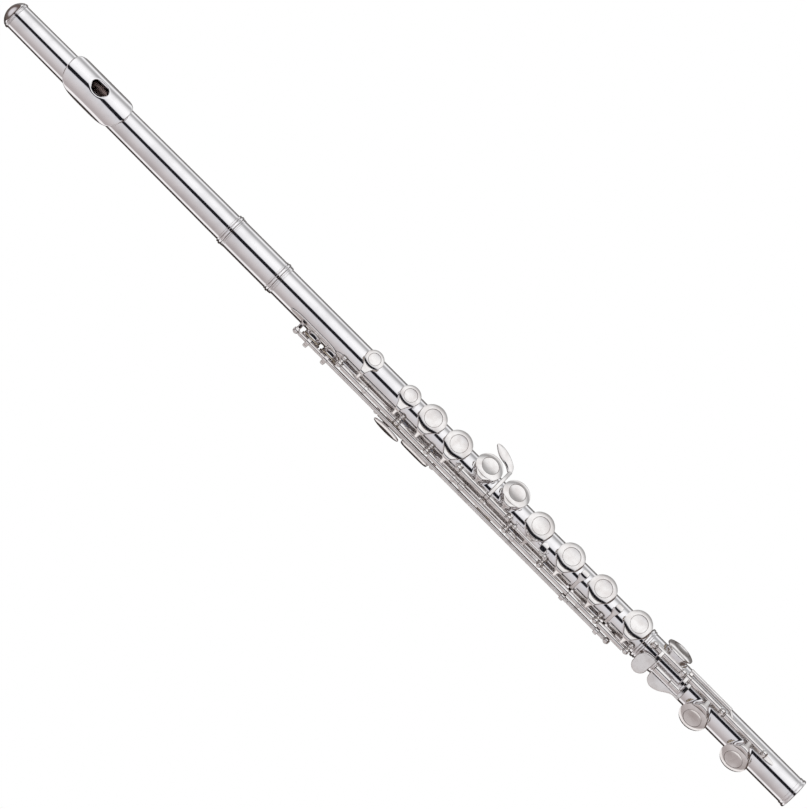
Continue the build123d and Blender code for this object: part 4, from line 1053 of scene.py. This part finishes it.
touch_thickness = 1.3
touch_tilt = 36.0
d_touch_arm_x = -117.9
d_sharp = Shape()
bar(d_sharp, foot_rod, -125.3 + ball_clear, -100.9 - ball_clear, foot_hinge_radius, hole=0.93)
add_arm(d_sharp, FOOT_D_SHARP_CUP, foot_rod, 0.0, foot_hinge_radius, root_half=7.0, stem_half=4.0, inward=0,
        flare=2.0, short=1.2)
add_cup(d_sharp, FOOT_D_SHARP_CUP, foot_rod)
strip(d_sharp, [(-1.6, 15.2), (-5.0, 15.0), (-8.6, 13.5)], d_touch_arm_x - 0.6, 2.4, 1.3)
outline = [(0.6, 1.0), (0.3, -4.0), (0.0, -8.0)]
outline += [tuple(p) for p in three_point_arc((0, -8.0), (-4.7, -14.0), (-10.7, -8.0), 18)[1:]]
outline += [tuple(p) for p in three_point_arc((-10.7, -8.0), (-9.3, -1.6), (-4.1, 0.8), 10)[1:]]
outline = rounded(outline, 0.8, closed=True, steps=3)
place = frame_at(swung((d_touch_arm_x, -8.0, 13.65), (-8.0, 13.0), touch_tilt), spin((0, 0, 1), touch_tilt))
plate(d_sharp, outline, ((-4.2, -2.2), (-5.2, -8.4)), place, touch_thickness, 0.15)
key_with_pad("foot_d_sharp_key_cup", "foot_d_sharp_key", d_sharp, FOOT_D_SHARP_CUP, foot_rod, 0.0,
             "foot_d_sharp_pad")

c_sharp_arm_x = -93.0
c_sharp = Shape()
bar(c_sharp, foot_rod, -94.8, -67.4 - ball_clear, foot_hinge_radius, hole=0.93)
add_arm(c_sharp, FOOT_C_SHARP_CUP, foot_rod, foot_open_angle, foot_hinge_radius, root_half=6.6,
        stem_half=1.5, inward=0, short=1.6)
add_cup(c_sharp, FOOT_C_SHARP_CUP, foot_rod, foot_open_angle)
strip(c_sharp, [(-1.8, 12.7), (-6.0, 11.6), (-10.2, 9.6), (-13.0, 7.9)], c_sharp_arm_x, 2.6, 1.3)
outline = [(-115.8, 0), (-91.8, 0), (-91.8, -1.5)]
outline += smooth_path([(-91.8, -1.5), (-97.2, -2.0), (-101.0, -4.1), (-105.0, -6.6), (-110.2, -7.7),
                        (-114.4, -5.3), (-115.8, 0)], 6)[1:-1]
outline = rounded([tuple(p) for p in outline], 0.8, closed=True, steps=3)
place = frame_at(swung((0, -12.3, 8.85), (-12.3, 8.2), touch_tilt), spin((0, 0, 1), touch_tilt))
plate(c_sharp, outline, ((-109.5, -2.8), (-95.0, -0.9)), place, touch_thickness, 0.15)
key_with_pad("foot_c_sharp_key_cup", "foot_c_sharp_key", c_sharp, FOOT_C_SHARP_CUP, foot_rod,
             foot_open_angle, "foot_c_sharp_pad")


def slanted_arm(shape, start, end, width, thickness):
    """A short flat arm that runs slantwise between two bars."""
    start, end = np.array(start), np.array(end)
    ahead = (end - start) / np.linalg.norm(end - start)
    side, out = frame_at(start, np.cross(X_AXIS, ahead), ahead)[2:]
    rings = []
    for t in np.linspace(-0.25, 1.15, 8):
        rings.append([start + (end - start) * t + side * u * width / 2 + out * w * thickness / 2
                      for u, w in oval(3.0, 24)])
    shape.rings(rings)


roller_arm_x = -97.0
roller_span = (-115.4, -103.4)
low_c = Shape()
bar(low_c, foot_rod, -98.5, -95.0, foot_hinge_radius, hole=0.93)
bar(low_c, foot_rod, -65.0, -31.4 - ball_clear, foot_hinge_radius, hole=0.93)
bar(low_c, bridge_axis, -98.5, -64.4, 1.5, edge=0.35)
strip(low_c, [(0.2, 15.4), (1.6, 15.4), bridge_axis], -96.9, 2.6, 1.6)
slanted_arm(low_c, (-61.9, 0.6, 14.6), (-65.6, *bridge_axis), 2.4, 1.6)
strip(low_c, [(-1.8, 15.0), (-6.0, 14.2), roller_axis], roller_arm_x, 2.4, 1.3)
bar(low_c, roller_axis, roller_span[1] + 0.3, roller_arm_x + 1.2, 1.5, edge=0.3)
bar(low_c, roller_axis, roller_span[0] - 0.9, roller_arm_x, 0.88)
bar(low_c, roller_axis, roller_span[0] - 1.0, roller_span[0] - 0.2, 1.5, edge=0.3)
add_arm(low_c, FOOT_C_CUP, foot_rod, foot_open_angle, foot_hinge_radius, root_half=6.6, stem_half=1.5,
        inward=0, short=1.6)
add_cup(low_c, FOOT_C_CUP, foot_rod, foot_open_angle)
key_with_pad("foot_c_key_cup", "foot_c_key", low_c, FOOT_C_CUP, foot_rod, foot_open_angle, "foot_c_pad")

roller = Shape()
bar(roller, roller_axis, *roller_span, 2.3, hole=0.96, edge=0.7, segments=64)
piece("c_key_roller", roller, "c_roller", "silver_key", key_silver, "c_roller")

# ---- finishes of the CAD nodes that stay ---------------------------------------------------
for name, finish in (("stopper_screw", inner_silver), ("stopper_nut", inner_silver), ("stopper_cork", cork)):
    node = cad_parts[name]
    node.data.materials.clear()
    node.data.materials.append(finish)


# ---- floor, light and camera ---------------------------------------------------------------
def glow(name, colour, strength):
    material = bpy.data.materials.new(name)
    material.use_nodes = True
    tree = material.node_tree
    tree.nodes.clear()
    light = tree.nodes.new("ShaderNodeEmission")
    light.inputs["Color"].default_value = (*colour, 1)
    light.inputs["Strength"].default_value = strength
    out = tree.nodes.new("ShaderNodeOutputMaterial")
    tree.links.new(light.outputs["Emission"], out.inputs["Surface"])
    return material


middle_x = (cad_box[0].x + cad_box[1].x) / 2
floor_drop = 0.004
floor_z = cad_box[0].z - floor_drop
floor_half = 6.0
floor_finish = glow("pale_floor_finish", (1.0, 1.0, 1.0), 1.0)
tree = floor_finish.node_tree
behind = tree.nodes.new("ShaderNodeNewGeometry")
clear = tree.nodes.new("ShaderNodeBsdfTransparent")
either = tree.nodes.new("ShaderNodeMixShader")
tree.links.new(behind.outputs["Backfacing"], either.inputs["Fac"])
tree.links.new(tree.nodes["Emission"].outputs["Emission"], either.inputs[1])
tree.links.new(clear.outputs["BSDF"], either.inputs[2])
tree.links.new(either.outputs["Shader"], tree.nodes["Material Output"].inputs["Surface"])
mesh = bpy.data.meshes.new("pale_floor")
corners = ((-1, -1), (1, -1), (1, 1), (-1, 1))
mesh.from_pydata([(middle_x + u * floor_half, v * floor_half, floor_z) for u, v in corners],
                 [], [(0, 1, 2, 3)])
mesh.materials.append(floor_finish)
floor = bpy.data.objects.new("pale_floor", mesh)
bpy.context.scene.collection.objects.link(floor)
floor.visible_glossy = False
floor.visible_shadow = False

view_tilt = 23.5
tent_radius = 0.9
tent_half_length = 1.1
# the studio round the flute: angle from the camera's direction (+ is the far side), then its colour
STUDIO = ((-180, 0.10, 0.08, 0.07), (-126, 0.035, 0.028, 0.026), (-123, 0.97, 0.94, 0.93),
          (-104, 0.97, 0.94, 0.93), (-99, 0.45, 0.41, 0.405), (-84, 0.45, 0.405, 0.40),
          (-67, 0.52, 0.48, 0.475), (-50, 0.605, 0.565, 0.565), (-35, 0.65, 0.63, 0.635),
          (-20, 0.68, 0.675, 0.69), (-9, 0.68, 0.67, 0.70), (-7, 0.01, 0.01, 0.013),
          (12, 0.01, 0.01, 0.013), (14, 0.72, 0.72, 0.74), (22, 0.88, 0.88, 0.89), (34, 0.97, 0.97, 0.97),
          (45, 1.04, 1.04, 1.04), (60, 1.0, 1.0, 1.0), (69, 0.93, 0.93, 0.93), (78, 0.73, 0.73, 0.73),
          (87, 0.49, 0.49, 0.49), (94, 0.42, 0.42, 0.42), (100, 0.44, 0.44, 0.44), (106, 0.62, 0.62, 0.62),
          (112, 0.88, 0.88, 0.88), (119, 0.98, 0.98, 0.98), (124, 0.85, 0.85, 0.85),
          (128, 0.42, 0.42, 0.42), (136, 0.24, 0.235, 0.23), (180, 0.10, 0.08, 0.07))
# the studio's ends: distance from the axis over the tent's radius, then the colour
HEAD_END = ((0.0, 0.75, 0.72, 0.74), (0.3, 0.6, 0.57, 0.58), (0.5, 0.14, 0.11, 0.10),
            (1.0, 0.12, 0.09, 0.08))
FOOT_END = ((0.0, 0.14, 0.11, 0.09), (1.0, 0.12, 0.09, 0.08))


def lit(name, points, faces, colours):
    """A part of the studio that glows with the colours of its corners. The camera doesn't see it."""
    mesh = bpy.data.meshes.new(name)
    mesh.from_pydata([tuple(p) for p in points], [], faces)
    shade = mesh.color_attributes.new("light", "FLOAT_COLOR", "POINT")
    for corner, colour in zip(shade.data, colours):
        corner.color = (*colour, 1.0)
    material = glow(name + "_finish", (1.0, 1.0, 1.0), 1.0)
    tree = material.node_tree
    source = tree.nodes.new("ShaderNodeAttribute")
    source.attribute_name = "light"
    tree.links.new(source.outputs["Color"], tree.nodes["Emission"].inputs["Color"])
    mesh.materials.append(material)
    item = bpy.data.objects.new(name, mesh)
    bpy.context.scene.collection.objects.link(item)
    item.visible_camera = False
    item.visible_shadow = False


def shade_of(stops, value):
    return [np.interp(value, [stop[0] for stop in stops], [stop[i] for stop in stops]) for i in (1, 2, 3)]


points, faces, colours = [], [], []
directions = np.arange(-180, 180.5, 1.0)
for i, direction in enumerate(directions):
    for side in (-1, 1):
        points.append((middle_x + side * tent_half_length, *around(direction - view_tilt, tent_radius)))
        colours.append(shade_of(STUDIO, direction))
    if i:
        faces.append((2 * i - 2, 2 * i - 1, 2 * i + 1, 2 * i))
lit("studio_tent", points, faces, colours)
for name, side, stops in (("head_end_light", -1, HEAD_END), ("foot_end_light", 1, FOOT_END)):
    points, faces, colours = [], [], []
    sectors = 36
    radii = np.linspace(0.001, 1.0, 21)
    for i, part in enumerate(radii):
        for k in range(sectors):
            points.append((middle_x + side * tent_half_length,
                           *around(360 * k / sectors, part * tent_radius)))
            colours.append(shade_of(stops, part))
            if i:
                n = (k + 1) % sectors
                faces.append(((i - 1) * sectors + k, (i - 1) * sectors + n, i * sectors + n,
                              i * sectors + k))
    lit(name, points, faces, colours)

world = bpy.data.worlds.new("studio")
world.use_nodes = True
world.node_tree.nodes["Background"].inputs["Color"].default_value = (1.0, 1.0, 1.0, 1)
world.node_tree.nodes["Background"].inputs["Strength"].default_value = 1.0
bpy.context.scene.world = world
bpy.context.scene.view_settings.view_transform = "Standard"

view_distance = 3.5
view_width = 0.4936
view_middle_x = -0.3367
view_rise = -0.00055
view_roll = 45.037
tilt = radians(view_tilt)
toward = Vector((0, -sin(tilt), cos(tilt)))
upward = Vector((0, cos(tilt), sin(tilt)))
target = Vector((view_middle_x, 0, 0)) + view_rise * upward
lean = radians(view_roll)
right = cos(lean) * Vector((1, 0, 0)) + sin(lean) * upward
above = -sin(lean) * Vector((1, 0, 0)) + cos(lean) * upward
camera_data = bpy.data.cameras.new("camera")
camera_data.sensor_width = 36.0
camera_data.lens = 36.0 * view_distance / view_width
camera_data.clip_end = 50.0
camera = bpy.data.objects.new("camera", camera_data)
bpy.context.scene.collection.objects.link(camera)
camera.matrix_world = Matrix.Translation(target + view_distance * toward) @ Matrix(
    (right, above, toward)).transposed().to_4x4()
bpy.context.scene.camera = camera
